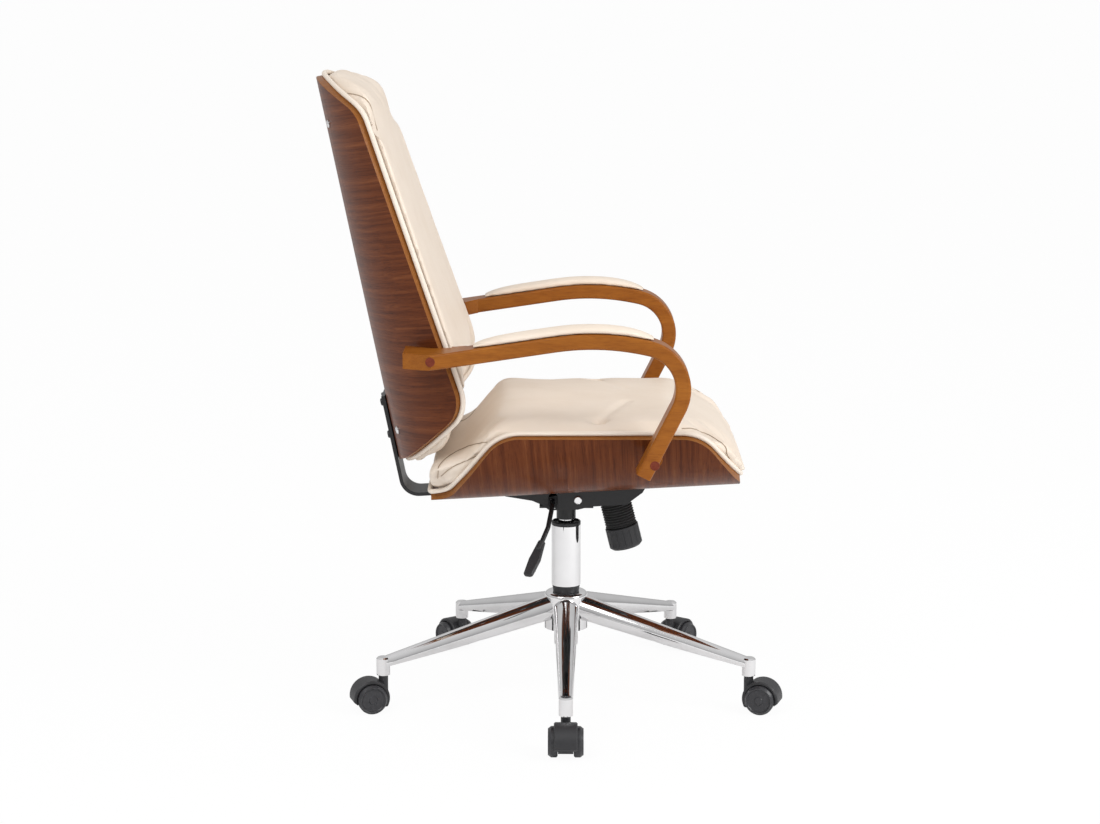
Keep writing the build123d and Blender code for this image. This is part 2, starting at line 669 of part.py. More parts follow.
def screw(place):
    head = Cylinder(SCREW_R, SCREW_HEAD, align=(Align.CENTER, Align.CENTER, Align.MIN))
    head = Pos(0, 0, REST) * chamfer(head.edges().group_by(Axis.Z)[-1], SCREW_HEAD * 0.5)
    neck = Cylinder(SCREW_SHANK_R, REST + SCREW_HEAD / 2, align=(Align.CENTER, Align.CENTER, Align.MIN))
    return on_plane(place, head + neck) + screw_shank(place, 0)


def back_screw_places():
    places = []
    for s, y in BACK_SCREWS:
        for side in (-1, 1):
            lean = math.asin(side * y / BACK_R)
            point = (BACK_R - BACK_R * math.cos(lean), side * y, s)
            places.append(Plane(point, x_dir=(0, 0, 1), z_dir=(-math.cos(lean), math.sin(lean), 0)))
    return places


def seat_screw_places():
    places = []
    for u in SEAT_SCREWS:
        for side in (-1, 1):
            point = seat_plane.from_local_coords(Vector(u, side * SEAT_SCREW_Y, 0))
            places.append(Plane(point, x_dir=(0, 1, 0), z_dir=-seat_plane.z_dir))
    return places


# Back bracket: a flat bar bent under the seat, with a pressed rib on its outside

def bar_corner():
    # where the bar's upright and level centre lines cross, seen from the side
    half = BAR_THICK / 2 + RUN
    lean = math.radians(BACK_LEAN)
    tilt = math.radians(SEAT_TILT)
    start = Vector(BACK_FOOT_X, 0, BACK_FOOT_Z) - half * back_plane.x_dir
    level = Vector(0, 0, SEAT_BOTTOM) - half * seat_plane.z_dir
    gap = start - level
    along = gap.dot(seat_plane.z_dir) / math.cos(lean - tilt)
    return start - along * back_plane.z_dir


def back_bracket():
    half = BAR_THICK / 2 + RUN
    top = back_plane.from_local_coords(Vector(-half, 0, BAR_TOP))
    front = seat_plane.from_local_coords(Vector(BAR_FRONT, 0, -half))
    path = FilletPolyline(top, bar_corner(), front, radius=BAR_BEND)
    start = Plane(path @ 0, x_dir=(0, 1, 0), z_dir=path % 0)
    section = Rectangle(BAR_WIDTH, BAR_THICK)
    rib = Polyline(
        (-RIB_WIDTH / 2, -BAR_THICK / 2), (-RIB_WIDTH / 4, -BAR_THICK / 2 - RIB_HEIGHT),
        (RIB_WIDTH / 4, -BAR_THICK / 2 - RIB_HEIGHT), (RIB_WIDTH / 2, -BAR_THICK / 2), close=True)
    section += make_face(rib)
    bar = sweep(start * section, path)
    for s in BACK_BAR_BOLTS:
        hole = Rot(0, 90, 0) * Cylinder(SCREW_SHANK_R + RUN, 4 * BAR_THICK)
        bar -= on_plane(back_plane, Pos(0, 0, s) * hole)
    for u in SEAT_BAR_BOLTS:
        bar -= on_plane(seat_plane, Pos(u, 0, 0) * Cylinder(SCREW_SHANK_R + RUN, 4 * BAR_THICK))
    return bar


def bracket_bolts():
    seat_at = BAR_THICK + RIB_HEIGHT + RUN
    bolt = Cylinder(SCREW_R, HEAD_HEIGHT, align=(Align.CENTER, Align.CENTER, Align.MIN))
    bolt = chamfer(bolt.edges().group_by(Axis.Z)[-1], 1.2)
    bolt += Cylinder(SCREW_SHANK_R, seat_at + SCREW_SHANK, align=(Align.CENTER, Align.CENTER, Align.MAX))
    bolts = []
    for s in BACK_BAR_BOLTS:
        bolts.append(on_plane(back_plane, Pos(-seat_at, 0, s) * Rot(0, -90, 0) * bolt))
    for u in SEAT_BAR_BOLTS:
        bolts.append(on_plane(seat_plane, Pos(u, 0, -seat_at) * Rot(180, 0, 0) * bolt))
    return bolts


# Arms

def arm_edge(distance):
    # the arm's centre line moved sideways: its corners on the mitres, its bends kept concentric
    points = [Vector(x, z) for x, z in (ARM_REAR, ARM_KNEE, ARM_CROWN, ARM_NOSE, ARM_FOOT)]
    runs = [(b - a).normalized() for a, b in zip(points, points[1:])]
    normals = [Vector(-run.Y, run.X) for run in runs]
    corners = [points[0] + normals[0] * distance]
    radii = []
    for i, radius in enumerate(ARM_BENDS):
        first, second = normals[i], normals[i + 1]
        corners.append(points[i + 1] + (first + second) * (distance / (1 + first.dot(second))))
        left_turn = first.cross(second).Z > 0
        radii.append(radius - distance if left_turn else radius + distance)
    corners.append(points[-1] + normals[-1] * distance)
    return FilletPolyline(*corners, radius=radii)


def arm_ribbon(inner, outer):
    # bentwood strip between two distances from the chair's middle
    upper = arm_edge(ARM_THICK / 2)
    lower = arm_edge(-ARM_THICK / 2)
    outline = upper + lower + Line(upper @ 0, lower @ 0) + Line(upper @ 1, lower @ 1)
    return Pos(0, -inner, 0) * extrude(Plane.XZ * make_face(outline), outer - inner)


def arm_bolt_hole(place, side, radius):
    x, z = place
    outer = ARM_INNER + ARM_WIDTH
    start, end = sorted((side * (outer + 5), side * (ARM_INNER - 75)))
    return crosswise(radius, start, end, x, z)


def arm_right():
    outer = ARM_INNER + ARM_WIDTH
    strip = arm_ribbon(ARM_INNER, outer)
    rims = strip.faces().sort_by(Axis.Y)
    ends = strip.edges().filter_by(lambda edge: abs(edge.length - ARM_THICK) < RUN)
    strip = fillet(rims[0].edges() + rims[-1].edges() - ends, ARM_EDGE)
    tail = 100.0
    flare = tail * math.tan(math.radians(ARM_FLARE))
    block = Polyline(
        (ARM_FLARE_X, -ARM_INNER - ARM_WIDTH / 2), (ARM_FLARE_X, -ARM_INNER),
        (ARM_FLARE_X - tail, -ARM_INNER + flare),
        (ARM_FLARE_X - tail, -ARM_INNER - ARM_WIDTH / 2), close=True)
    widened = arm_ribbon(ARM_INNER - flare, outer - ARM_WIDTH / 2)
    widened &= extrude(make_face(block), 2 * FAR)
    arm = strip + widened
    back_cut = math.tan(math.radians(ARM_TAIL))
    corner = Polyline(
        (ARM_TAIL_X, -outer), (ARM_TAIL_X - tail, -outer + tail * back_cut),
        (ARM_TAIL_X - tail, -outer - tail), (ARM_TAIL_X, -outer - tail), close=True)
    arm -= extrude(make_face(corner), 2 * FAR)
    arm -= back_outer_block(REST)
    for place in (REAR_BOLT, FRONT_BOLT):
        arm -= arm_bolt_hole(place, -1, ARM_BOLT_R + RUN)
        x, z = place
        arm -= crosswise(PLUG_R + RUN, -outer - 5, -outer + 2 * PLUG_DEPTH, x, z)
    return arm


def shell_half_width(plane, place, flat, radius):
    # distance from the chair's middle to a bent face of a shell at a place in side view
    x, z = place
    local = plane.to_local_coords(Vector(x, 0, z))
    rise = local.X if plane is back_plane else local.Z
    return flat + math.sqrt((radius - PLY) ** 2 - (radius - rise) ** 2)


def arm_bolts():
    outer = ARM_INNER + ARM_WIDTH
    ends = {
        REAR_BOLT: shell_half_width(back_plane, REAR_BOLT, 0, BACK_R) + PLY / 2,
        FRONT_BOLT: shell_half_width(seat_plane, FRONT_BOLT, SEAT_FLAT, SEAT_BEND_R) + PLY / 2,
    }
    bolts = []
    for (x, z), end in ends.items():
        bolt = crosswise(HEAD_R, -outer + PLUG_DEPTH, -outer + 2 * PLUG_DEPTH, x, z)
        bolt += crosswise(ARM_BOLT_R, -outer + PLUG_DEPTH, -end, x, z)
        bolts += [bolt, mirrored(bolt)]
    return bolts


def arm_plugs():
    outer = ARM_INNER + ARM_WIDTH
    plugs = []
    for x, z in (REAR_BOLT, FRONT_BOLT):
        plug = crosswise(PLUG_R, -outer - 0.8, -outer + PLUG_DEPTH, x, z)
        plug = chamfer(plug.edges().group_by(Axis.Y)[0], 0.6)
        plugs += [plug, mirrored(plug)]
    return plugs


def arm_spacers():
    x, z = FRONT_BOLT
    spacer = crosswise(SPACER_R, -ARM_INNER, -ARM_INNER + 60, x, z)
    spacer -= seat_outer_block(REST)
    spacer -= arm_bolt_hole(FRONT_BOLT, -1, ARM_BOLT_R + RUN)
    return [spacer, mirrored(spacer)]


# Arm pads

def pad_section(path, at, fullness):
    half = PAD_HALF * (0.8 + 0.2 * fullness)
    edge = PAD_EDGE * (0.35 + 0.65 * fullness)
    crown = PAD_CROWN * (0.35 + 0.65 * fullness)
    spot = path @ at
    along = path % at
    plane = Plane((spot.X, 0, spot.Y), x_dir=(0, -1, 0), z_dir=(-along.X, 0, -along.Y))
    lift = ARM_THICK / 2 + REST
    outline = Polyline((half, lift + edge), (half - 1.5, lift), (1.5 - half, lift), (-half, lift + edge))
    outline += ThreePointArc((-half, lift + edge), (0, lift + crown), (half, lift + edge))
    return plane * make_face(outline)


def share_at(path, x):
    # place along the arm's centre line where it passes a given X on its upper run
    low, high = 0.0, 0.62
    for _ in range(40):
        middle = (low + high) / 2
        if (path @ middle).X < x:
            low = middle
        else:
            high = middle
    return low


def arm_pad_right():
    path = arm_edge(0)
    rear = share_at(path, PAD_REAR_X)
    front = share_at(path, PAD_FRONT_X)
    sections = []
    for i in range(PAD_STEPS + 1):
        share = i / PAD_STEPS
        fullness = 1 - abs(2 * share - 1) ** 6
        sections.append(pad_section(path, rear + (front - rear) * share, fullness))
    return Pos(0, -ARM_INNER - ARM_WIDTH / 2, 0) * loft(sections, ruled=True)


# Cushions

def seat_inner_block():
    # room inside the shell's section, carried up past its rims
    half = SEAT_FLAT
    radius = SEAT_BEND_R - PLY - CUSHION_GAP
    sweep_angle = 72.0
    end = math.radians(sweep_angle)
    edge = (half + radius * math.sin(end), SEAT_BEND_R - radius * math.cos(end))
    rise = 60.0
    lip = (edge[0] + 0.1 * rise, edge[1] + rise)
    section = Polyline((-half, SEAT_BEND_R - radius), (half, SEAT_BEND_R - radius))
    section += CenterArc((half, SEAT_BEND_R), radius, -90, sweep_angle)
    section += Polyline(edge, lip, (-lip[0], lip[1]), (-edge[0], edge[1]))
    section += CenterArc((-half, SEAT_BEND_R), radius, 270 - sweep_angle, sweep_angle)
    across = Plane((SEAT_REAR - 60, 0, 0), x_dir=(0, 1, 0), z_dir=(1, 0, 0))
    return on_plane(seat_plane, extrude(across * make_face(section), SEAT_FRONT - SEAT_REAR + 140))


def seat_cushion():
    floor = SEAT_BOTTOM - 20
    top = SEAT_CROWN + 8
    outline = [
        (CUSHION_REAR, floor), (CUSHION_REAR, SEAT_HEEL_TOP), SEAT_HOLLOW, (SEAT_TOP_REAR, top),
        (SEAT_TOP_FRONT, top), SEAT_BROW, SEAT_NOSE, (CUSHION_FRONT, SEAT_BELLY), (CUSHION_FRONT - 4, floor)]
    cushion = seat_inner_block() & side_prism(outline, {1: 14, 2: 30, 3: 80, 4: 60, 5: 60, 6: 40, 7: 40})
    edge = SEAT_FLAT + SEAT_BEND_R + 10
    arch = Polyline((-edge, SEAT_CUSHION_RIM), (-edge, 0), (edge, 0), (edge, SEAT_CUSHION_RIM))
    arch += ThreePointArc((edge, SEAT_CUSHION_RIM), (0, SEAT_CROWN), (-edge, SEAT_CUSHION_RIM))
    across = Plane((-FAR, 0, 0), x_dir=(0, 1, 0), z_dir=(1, 0, 0))
    cushion &= extrude(across * make_face(arch), 2 * FAR)
    for side in (-1, 1):
        tuft = Pos(TUFT_X, side * TUFT_Y, SEAT_CROWN - 2 - TUFT_DEPTH + TUFT_R) * Sphere(TUFT_R)
        cushion -= tuft
    return cushion


def front_arch(crown, half, depth_low, depth_high, low, high):
    # bowed front of a back cushion: an arc in plan, carried up along the wings' slope
    arch = Polyline((depth_low - crown, half), (-60, half), (-60, -half), (depth_low - crown, -half))
    arch += ThreePointArc((depth_low - crown, -half), (depth_low, 0), (depth_low - crown, half))
    run = Vector(depth_high - depth_low, 0, high - low)
    return extrude(Pos(0, 0, low) * make_face(arch), amount=run.length, dir=run.normalized())


def wing_depth(s):
    slope = (WING_TOP_DEPTH - WING_LOW_DEPTH) / (WING_TOP - WING_LOW)
    return WING_LOW_DEPTH + slope * (s - WING_LOW)


def back_cushion():
    top = HEADREST_LOW - 1
    proud = BACK_CUSHION_PROUD
    roll = BACK_BOTTOM - BACK_ROLL_DROP
    outline = [
        (2, roll), (BACK_ROLL_DEPTH - 62, roll), (BACK_ROLL_DEPTH - 40, roll + 18),
        (BACK_ROLL_DEPTH - 14, roll + 26), (BACK_ROLL_DEPTH + 4, roll + 54),
        (WING_LOW_DEPTH - 17, WING_LOW + 10), (WING_LOW_DEPTH + proud + 14, WING_LOW + 40),
        (wing_depth(top) + proud + 40, top), (2, top)]
    block = side_prism(outline, {3: 16, 4: 20, 5: 20, 6: 30, 7: 12})
    # lower edge as seen from the front, just below the shell's own
    reach = WING_LOW_DEPTH * 1.75
    edge = WING_LOW - BACK_RIM_DROP
    front = Polyline((-reach, edge), (-reach, FAR), (reach, FAR), (reach, edge))
    front += ThreePointArc((reach, edge), (0, roll - 10), (-reach, edge))
    face = Plane((-100, 0, 0), x_dir=(0, 1, 0), z_dir=(1, 0, 0)) * make_face(front)
    block &= extrude(face, FAR)
    low, high = BACK_BOTTOM - 40, BACK_TOP + 40
    crown = proud + BACK_CUSHION_CROWN
    depths = (wing_depth(low) + crown, wing_depth(high) + crown)
    block &= front_arch(BACK_CUSHION_CROWN, BACK_R, *depths, low, high)
    block &= Pos(BACK_R, 0, 0) * Cylinder(BACK_R - PLY - CUSHION_GAP, 2 * FAR)
    return on_plane(back_plane, block)


def headrest_cushion():
    outline = [
        (2, HEADREST_LOW), (HEADREST_DEPTH - 6, HEADREST_LOW), (HEADREST_DEPTH + 2, HEADREST_LOW + 26),
        (HEADREST_DEPTH - 10, HEADREST_TOP - 36), (50, HEADREST_TOP), (2, HEADREST_TOP - 6)]
    block = side_prism(outline, {1: 14, 2: 20, 3: 26, 4: 20})
    low, high = HEADREST_LOW - 40, HEADREST_TOP + 40
    block &= front_arch(HEADREST_CROWN, HEADREST_HALF, HEADREST_DEPTH, HEADREST_DEPTH, low, high)
    half = HEADREST_HALF - 6
    shoulder = HEADREST_TOP - HEADREST_DROP
    front = Polyline(
        (-half, shoulder), (-HEADREST_HALF, HEADREST_LOW - 10),
        (HEADREST_HALF, HEADREST_LOW - 10), (half, shoulder))
    front += ThreePointArc((half, shoulder), (0, HEADREST_TOP + 2), (-half, shoulder))
    face = Plane((-100, 0, 0), x_dir=(0, 1, 0), z_dir=(1, 0, 0)) * make_face(front)
    block &= extrude(face, FAR)
    block &= Pos(BACK_R, 0, 0) * Cylinder(BACK_R - PLY - CUSHION_GAP, 2 * FAR)
    return on_plane(back_plane, block)


# Casters, built with the stem on the Z axis and the wheels trailing along +X

def caster_hood():
    radius = WHEEL_R + HOOD_RISE
    web = WHEEL_SPACE / 2 - 0.6
    centre = Pos(CASTER_TRAIL, 0, WHEEL_R)
    drum = centre * Rot(90, 0, 0) * Cylinder(radius, HOOD_WIDTH)
    drum = chamfer(drum.edges().filter_by(GeomType.CIRCLE), 2)
    room = Rot(90, 0, 0) * upright(radius - HOOD_WALL, 0, HOOD_WIDTH / 2)
    drum -= centre * Pos(0, -web, 0) * room
    drum -= centre * Pos(0, web, 0) * Rot(0, 0, 180) * room
    below = Box(FAR, FAR, FAR, align=(Align.CENTER, Align.CENTER, Align.MAX))
    drum -= Pos(CASTER_TRAIL, 0, HOOD_CLEAR) * below
    heel = Pos(CASTER_TRAIL + radius - 14, 0, HOOD_CLEAR) * Rot(0, -38, 0)
    drum -= heel * Box(60, FAR, 60, align=(Align.MIN, Align.CENTER, Align.MAX))
    neck_top = SOCKET_BOTTOM - 0.6
    drum += upright(NECK_R, WHEEL_R + 6, neck_top)
    drum -= upright(STEM_R + RUN, WHEEL_R + 12, FAR)
    return drum - crosswise(AXLE_R + RUN, -FAR, FAR, CASTER_TRAIL, WHEEL_R)


def caster_pins():
    stem = upright(STEM_R, WHEEL_R + 12.5, SOCKET_BOTTOM + STEM_LENGTH)
    half = WHEEL_SPACE / 2 + WHEEL_WIDTH - 3
    return [stem, crosswise(AXLE_R, -half, half, CASTER_TRAIL, WHEEL_R)]


def caster_wheel(side):
    inner = WHEEL_SPACE / 2
    outer = inner + WHEEL_WIDTH
    rim = WHEEL_R * 0.8
    profile = Polyline(
        (AXLE_R + RUN, inner), (WHEEL_R - 2, inner), (WHEEL_R, inner + 2), (WHEEL_R, outer - 5),
        (WHEEL_R - 3, outer - 1.2), (rim + 1.5, outer), (rim, outer - 0.6), (rim - 1.5, outer - 2.2),
        (7.5, outer - 2.2),
        (6.5, outer - 1), (0, outer - 1), (0, outer - 2.8), (AXLE_R + RUN, outer - 2.8), close=True)
    wheel = revolve(make_face(Plane.XY * profile), Axis.Y)
    wheel = Pos(CASTER_TRAIL, 0, WHEEL_R) * wheel
    return wheel if side > 0 else mirrored(wheel)


def leg_location(index):
    return Rot(0, 0, FIRST_LEG + index * 360 / LEG_COUNT) * Pos(LEG_REACH, 0, 0)


os.makedirs("parts", exist_ok=True)

save("star_base", star_base())
save("base_ring", base_ring())
save("column_tube", column_tube())
save("column_collar", column_collar())
save("thrust_bearing", thrust_bearing())
save("piston_rod", piston_rod())
save("column_clip", column_clip())
save("gas_cylinder", gas_cylinder())
save("release_button", release_button())

save("hub_bracket", hub_bracket())
save("tilt_housing", tilt_housing())
save("pivot_bolt", pivot_bolt())
save("pivot_nut", pivot_nut())
save("housing_bolts", *housing_bolts())
save("tension_bolt", tension_bolt())
save("tension_spring", tension_spring())
save("tension_bellows", tension_bellows())
save("tension_knob", tension_knob())
save("lever_rod", lever_rod())
save("lever_handle", lever_handle())

save("seat_shell", seat_shell())
save("back_shell", back_shell())
save("seat_screws", *[screw(place) for place in seat_screw_places()])
save("back_screws", *[on_plane(back_plane, screw(place)) for place in back_screw_places()])
save("back_bracket", back_bracket())
save("bracket_bolts", *bracket_bolts())

right_arm = arm_right()
right_pad = arm_pad_right()
save("arm_right", right_arm)
save("arm_left", mirrored(right_arm))
save("arm_pad_right", right_pad)
save("arm_pad_left", mirrored(right_pad))
save("arm_bolts", *arm_bolts())
save("arm_plugs", *arm_plugs())
save("arm_spacers", *arm_spacers())

save("seat_cushion", seat_cushion())
save("back_cushion", back_cushion())
save("headrest_cushion", headrest_cushion())

hood = caster_hood()
pins = caster_pins()
left_wheel = caster_wheel(1)
right_wheel = caster_wheel(-1)
for i in range(LEG_COUNT):
    place = leg_location(i)
    number = i + 1
    save(f"caster_{number}_hood", place * hood)
    save(f"caster_{number}_pins", *[place * pin for pin in pins])
    save(f"caster_{number}_wheel_left", place * left_wheel)
    save(f"caster_{number}_wheel_right", place * right_wheel)
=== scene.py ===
import bpy
import json
import math
import numpy as np
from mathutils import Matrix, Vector


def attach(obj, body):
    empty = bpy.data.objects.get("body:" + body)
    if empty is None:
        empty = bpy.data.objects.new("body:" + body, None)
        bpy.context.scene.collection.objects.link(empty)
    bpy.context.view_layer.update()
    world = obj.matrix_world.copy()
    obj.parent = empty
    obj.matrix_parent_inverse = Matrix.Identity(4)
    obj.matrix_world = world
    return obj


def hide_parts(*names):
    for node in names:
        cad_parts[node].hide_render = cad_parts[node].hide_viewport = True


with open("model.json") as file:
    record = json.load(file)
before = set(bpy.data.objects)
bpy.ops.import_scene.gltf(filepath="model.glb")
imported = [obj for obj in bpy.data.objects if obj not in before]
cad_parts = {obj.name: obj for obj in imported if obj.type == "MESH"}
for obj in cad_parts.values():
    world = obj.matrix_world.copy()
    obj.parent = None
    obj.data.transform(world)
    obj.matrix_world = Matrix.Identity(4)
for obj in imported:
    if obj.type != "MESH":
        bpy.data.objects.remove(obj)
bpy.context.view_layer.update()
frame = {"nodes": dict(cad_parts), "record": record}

print("frame loaded:", len(frame["nodes"]), "nodes")

# frames of the two shells, as in the part's source, in metres
seatFrame = {
    "origin": Vector((0, 0, 0.376)), "tilt": math.radians(3.2),
    "flat": 0.080, "bend": 0.180, "ply": 0.013,
}
backFrame = {
    "origin": Vector((-0.3204, 0, 0.600)), "tilt": math.radians(11.5),
    "bend": 0.300, "ply": 0.013,
}


def seatPoint(u, y, w):
    c, s = math.cos(seatFrame["tilt"]), math.sin(seatFrame["tilt"])
    return seatFrame["origin"] + Vector((u * c - w * s, y, u * s + w * c))


def backPoint(d, y, s):
    c, k = math.cos(backFrame["tilt"]), math.sin(backFrame["tilt"])
    return backFrame["origin"] + Vector((d * c - s * k, y, d * k + s * c))


# camera first
camera = {
    "lens": 81.5, "sensor": 36, "far": 200,
    "place": (0.002, -4.158, 1.284), "turn": (90 - 10.75, 0, 0.408),
}
bpy.ops.object.camera_add(location=camera["place"], rotation=[math.radians(a) for a in camera["turn"]])
chairCam = bpy.context.object
chairCam.name = "chairCam"
chairCam.data.lens = camera["lens"]
chairCam.data.sensor_width = camera["sensor"]
chairCam.data.clip_end = camera["far"]
bpy.context.scene.camera = chairCam
bpy.context.scene.view_settings.view_transform = "Standard"
print("camera set")


# small helpers for the work below
def dropSelection():
    if bpy.context.object and bpy.context.object.mode != "OBJECT":
        bpy.ops.object.mode_set(mode="OBJECT")
    bpy.ops.object.select_all(action="DESELECT")


def pick(obj):
    dropSelection()
    obj.select_set(True)
    bpy.context.view_layer.objects.active = obj


def useModifier(obj, kind, **values):
    pick(obj)
    mod = obj.modifiers.new(kind.lower(), kind)
    for key, value in values.items():
        setattr(mod, key, value)
    bpy.ops.object.modifier_apply(modifier=mod.name)


def readPoints(obj):
    co = np.zeros(len(obj.data.vertices) * 3)
    obj.data.vertices.foreach_get("co", co)
    return co.reshape(-1, 3)


def readNormals(obj):
    no = np.zeros(len(obj.data.vertices) * 3)
    obj.data.vertices.foreach_get("normal", no)
    return no.reshape(-1, 3)


def writePoints(obj, points):
    obj.data.vertices.foreach_set("co", points.reshape(-1))
    obj.data.update()


# materials
def newFinish(name):
    finish = bpy.data.materials.new(name)
    finish.use_nodes = True
    tree = finish.node_tree
    return finish, tree, tree.nodes["Principled BSDF"]


def addNode(tree, kind, inputs=None, **settings):
    node = tree.nodes.new(kind)
    for key, value in settings.items():
        setattr(node, key, value)
    for key, value in (inputs or {}).items():
        if hasattr(value, "is_output"):
            tree.links.new(value, node.inputs[key])
        else:
            node.inputs[key].default_value = value
    return node


def addRamp(tree, source, stops):
    ramp = addNode(tree, "ShaderNodeValToRGB", {"Fac": source})
    while len(ramp.color_ramp.elements) < len(stops):
        ramp.color_ramp.elements.new(0.5)
    for element, (place, colour) in zip(ramp.color_ramp.elements, stops):
        element.position = place
        element.color = (*colour, 1)
    return ramp


def addBump(tree, shader, height, strength, distance):
    bump = addNode(tree, "ShaderNodeBump", {"Height": height, "Strength": strength, "Distance": distance})
    tree.links.new(bump.outputs["Normal"], shader.inputs["Normal"])


def blendColours(tree, factor, first, second, mode="MIX"):
    mix = addNode(tree, "ShaderNodeMix", data_type="RGBA", blend_type=mode)
    for index, value in ((0, factor), (6, first), (7, second)):
        if hasattr(value, "is_output"):
            tree.links.new(value, mix.inputs[index])
        else:
            mix.inputs[index].default_value = value
    return mix.outputs[2]


walnut = {
    "tones": [
        (0.25, (0.060, 0.0130, 0.0036)), (0.42, (0.098, 0.0235, 0.0064)),
        (0.56, (0.132, 0.0345, 0.0095)), (0.74, (0.190, 0.0580, 0.0180)),
    ],
    "edge": [(0.3, (0.235, 0.085, 0.020)), (0.7, (0.36, 0.150, 0.036))],
    "pores": [(0.36, (0.55, 0.5, 0.47)), (0.5, (1, 1, 1))], "poreShare": 0.75,
    "sway": 5.0, "push": (1.6, 1.6, 1.6), "fine": (5.0, 5.0, 5.0), "bump": (0.12, 0.0006),
    "rough": 0.34, "shine": 0.08, "coat": 0.07, "coatRough": 0.14,
    "middle": 0.0065, "core": 0.0061, "layer": 0.0016, "layerGain": 620.0, "fleck": 130.0,
}


def walnutShell(name, place, tilt, stretch, isSeat):
    # veneer with its grain across the bend, and the bare plies along the cut edges
    finish, tree, shader = newFinish(name)
    where = addNode(tree, "ShaderNodeTexCoord")
    local = addNode(tree, "ShaderNodeMapping", {
        "Vector": where.outputs["Object"], "Location": place, "Rotation": (0, -tilt, 0),
    }, vector_type="TEXTURE")
    grainSpace = addNode(tree, "ShaderNodeMapping", {"Vector": local.outputs[0], "Scale": stretch})
    sway = addNode(tree, "ShaderNodeTexNoise", {
        "Vector": local.outputs[0], "Scale": walnut["sway"], "Detail": 2.0,
    })
    pushed = addNode(tree, "ShaderNodeVectorMath", {
        0: sway.outputs["Color"], 1: walnut["push"],
    }, operation="MULTIPLY")
    grainPlace = addNode(tree, "ShaderNodeVectorMath", {
        0: grainSpace.outputs[0], 1: pushed.outputs[0],
    }, operation="ADD")
    broad = addNode(tree, "ShaderNodeTexNoise", {
        "Vector": grainPlace.outputs[0], "Scale": 1.0, "Detail": 7.0, "Roughness": 0.62,
    })
    toned = addRamp(tree, broad.outputs["Fac"], walnut["tones"])
    fineSpace = addNode(tree, "ShaderNodeMapping", {
        "Vector": grainPlace.outputs[0], "Scale": walnut["fine"],
    })
    pores = addNode(tree, "ShaderNodeTexNoise", {
        "Vector": fineSpace.outputs[0], "Scale": 1.6, "Detail": 4.0, "Roughness": 0.7,
    })
    poreTone = addRamp(tree, pores.outputs["Fac"], walnut["pores"])
    veneer = blendColours(
        tree, walnut["poreShare"], toned.outputs["Color"], poreTone.outputs["Color"], "MULTIPLY")
    # distance from the sheet's middle, round the bend
    axes = addNode(tree, "ShaderNodeSeparateXYZ", {0: local.outputs[0]})
    if isSeat:
        bend = seatFrame["bend"]
        side = addNode(tree, "ShaderNodeMath", {0: axes.outputs["Y"]}, operation="ABSOLUTE")
        past = addNode(tree, "ShaderNodeMath", {
            0: side.outputs[0], 1: seatFrame["flat"],
        }, operation="SUBTRACT")
        past = addNode(tree, "ShaderNodeMath", {0: past.outputs[0], 1: 0.0}, operation="MAXIMUM")
        spoke = addNode(tree, "ShaderNodeCombineXYZ", {"X": past.outputs[0], "Y": axes.outputs["Z"]})
        spoke = addNode(tree, "ShaderNodeVectorMath", {
            0: spoke.outputs[0], 1: (0, bend, 0),
        }, operation="SUBTRACT")
    else:
        bend = backFrame["bend"]
        spoke = addNode(tree, "ShaderNodeCombineXYZ", {"X": axes.outputs["X"], "Y": axes.outputs["Y"]})
    reach = addNode(tree, "ShaderNodeVectorMath", {0: spoke.outputs[0]}, operation="LENGTH")
    depth = addNode(tree, "ShaderNodeMath", {
        0: reach.outputs["Value"], 1: bend - walnut["middle"],
    }, operation="SUBTRACT")
    off = addNode(tree, "ShaderNodeMath", {0: depth.outputs[0]}, operation="ABSOLUTE")
    isEdge = addNode(tree, "ShaderNodeMath", {
        0: off.outputs[0], 1: walnut["core"],
    }, operation="LESS_THAN")
    layers = addNode(tree, "ShaderNodeMath", {
        0: depth.outputs[0], 1: walnut["layer"],
    }, operation="PINGPONG")
    layers = addNode(tree, "ShaderNodeMath", {
        0: layers.outputs[0], 1: walnut["layerGain"],
    }, operation="MULTIPLY")
    fleck = addNode(tree, "ShaderNodeTexNoise", {
        "Vector": where.outputs["Object"], "Scale": walnut["fleck"], "Detail": 3.0,
    })
    plies = addNode(tree, "ShaderNodeMath", {
        0: layers.outputs[0], 1: fleck.outputs["Fac"],
    }, operation="MULTIPLY")
    edgeTone = addRamp(tree, plies.outputs[0], walnut["edge"])
    colour = blendColours(tree, isEdge.outputs[0], veneer, edgeTone.outputs["Color"])
    tree.links.new(colour, shader.inputs["Base Color"])
    rough = addNode(tree, "ShaderNodeMapRange", {
        "Value": pores.outputs["Fac"], "To Min": walnut["rough"] + 0.08, "To Max": walnut["rough"] - 0.05,
    })
    tree.links.new(rough.outputs[0], shader.inputs["Roughness"])
    shader.inputs["Specular IOR Level"].default_value = walnut["shine"]
    shader.inputs["Coat Weight"].default_value = walnut["coat"]
    shader.inputs["Coat Roughness"].default_value = walnut["coatRough"]
    addBump(tree, shader, pores.outputs["Fac"], *walnut["bump"])
    return finish


satin = {
    "shine": 0.14, "coat": 0.08, "coatRough": 0.2, "bump": (0.1, 0.0005),
    "fine": (4, 6, 6), "pores": [(0.35, (0.72, 0.66, 0.6)), (0.52, (1, 1, 1))], "poreShare": 0.6,
}


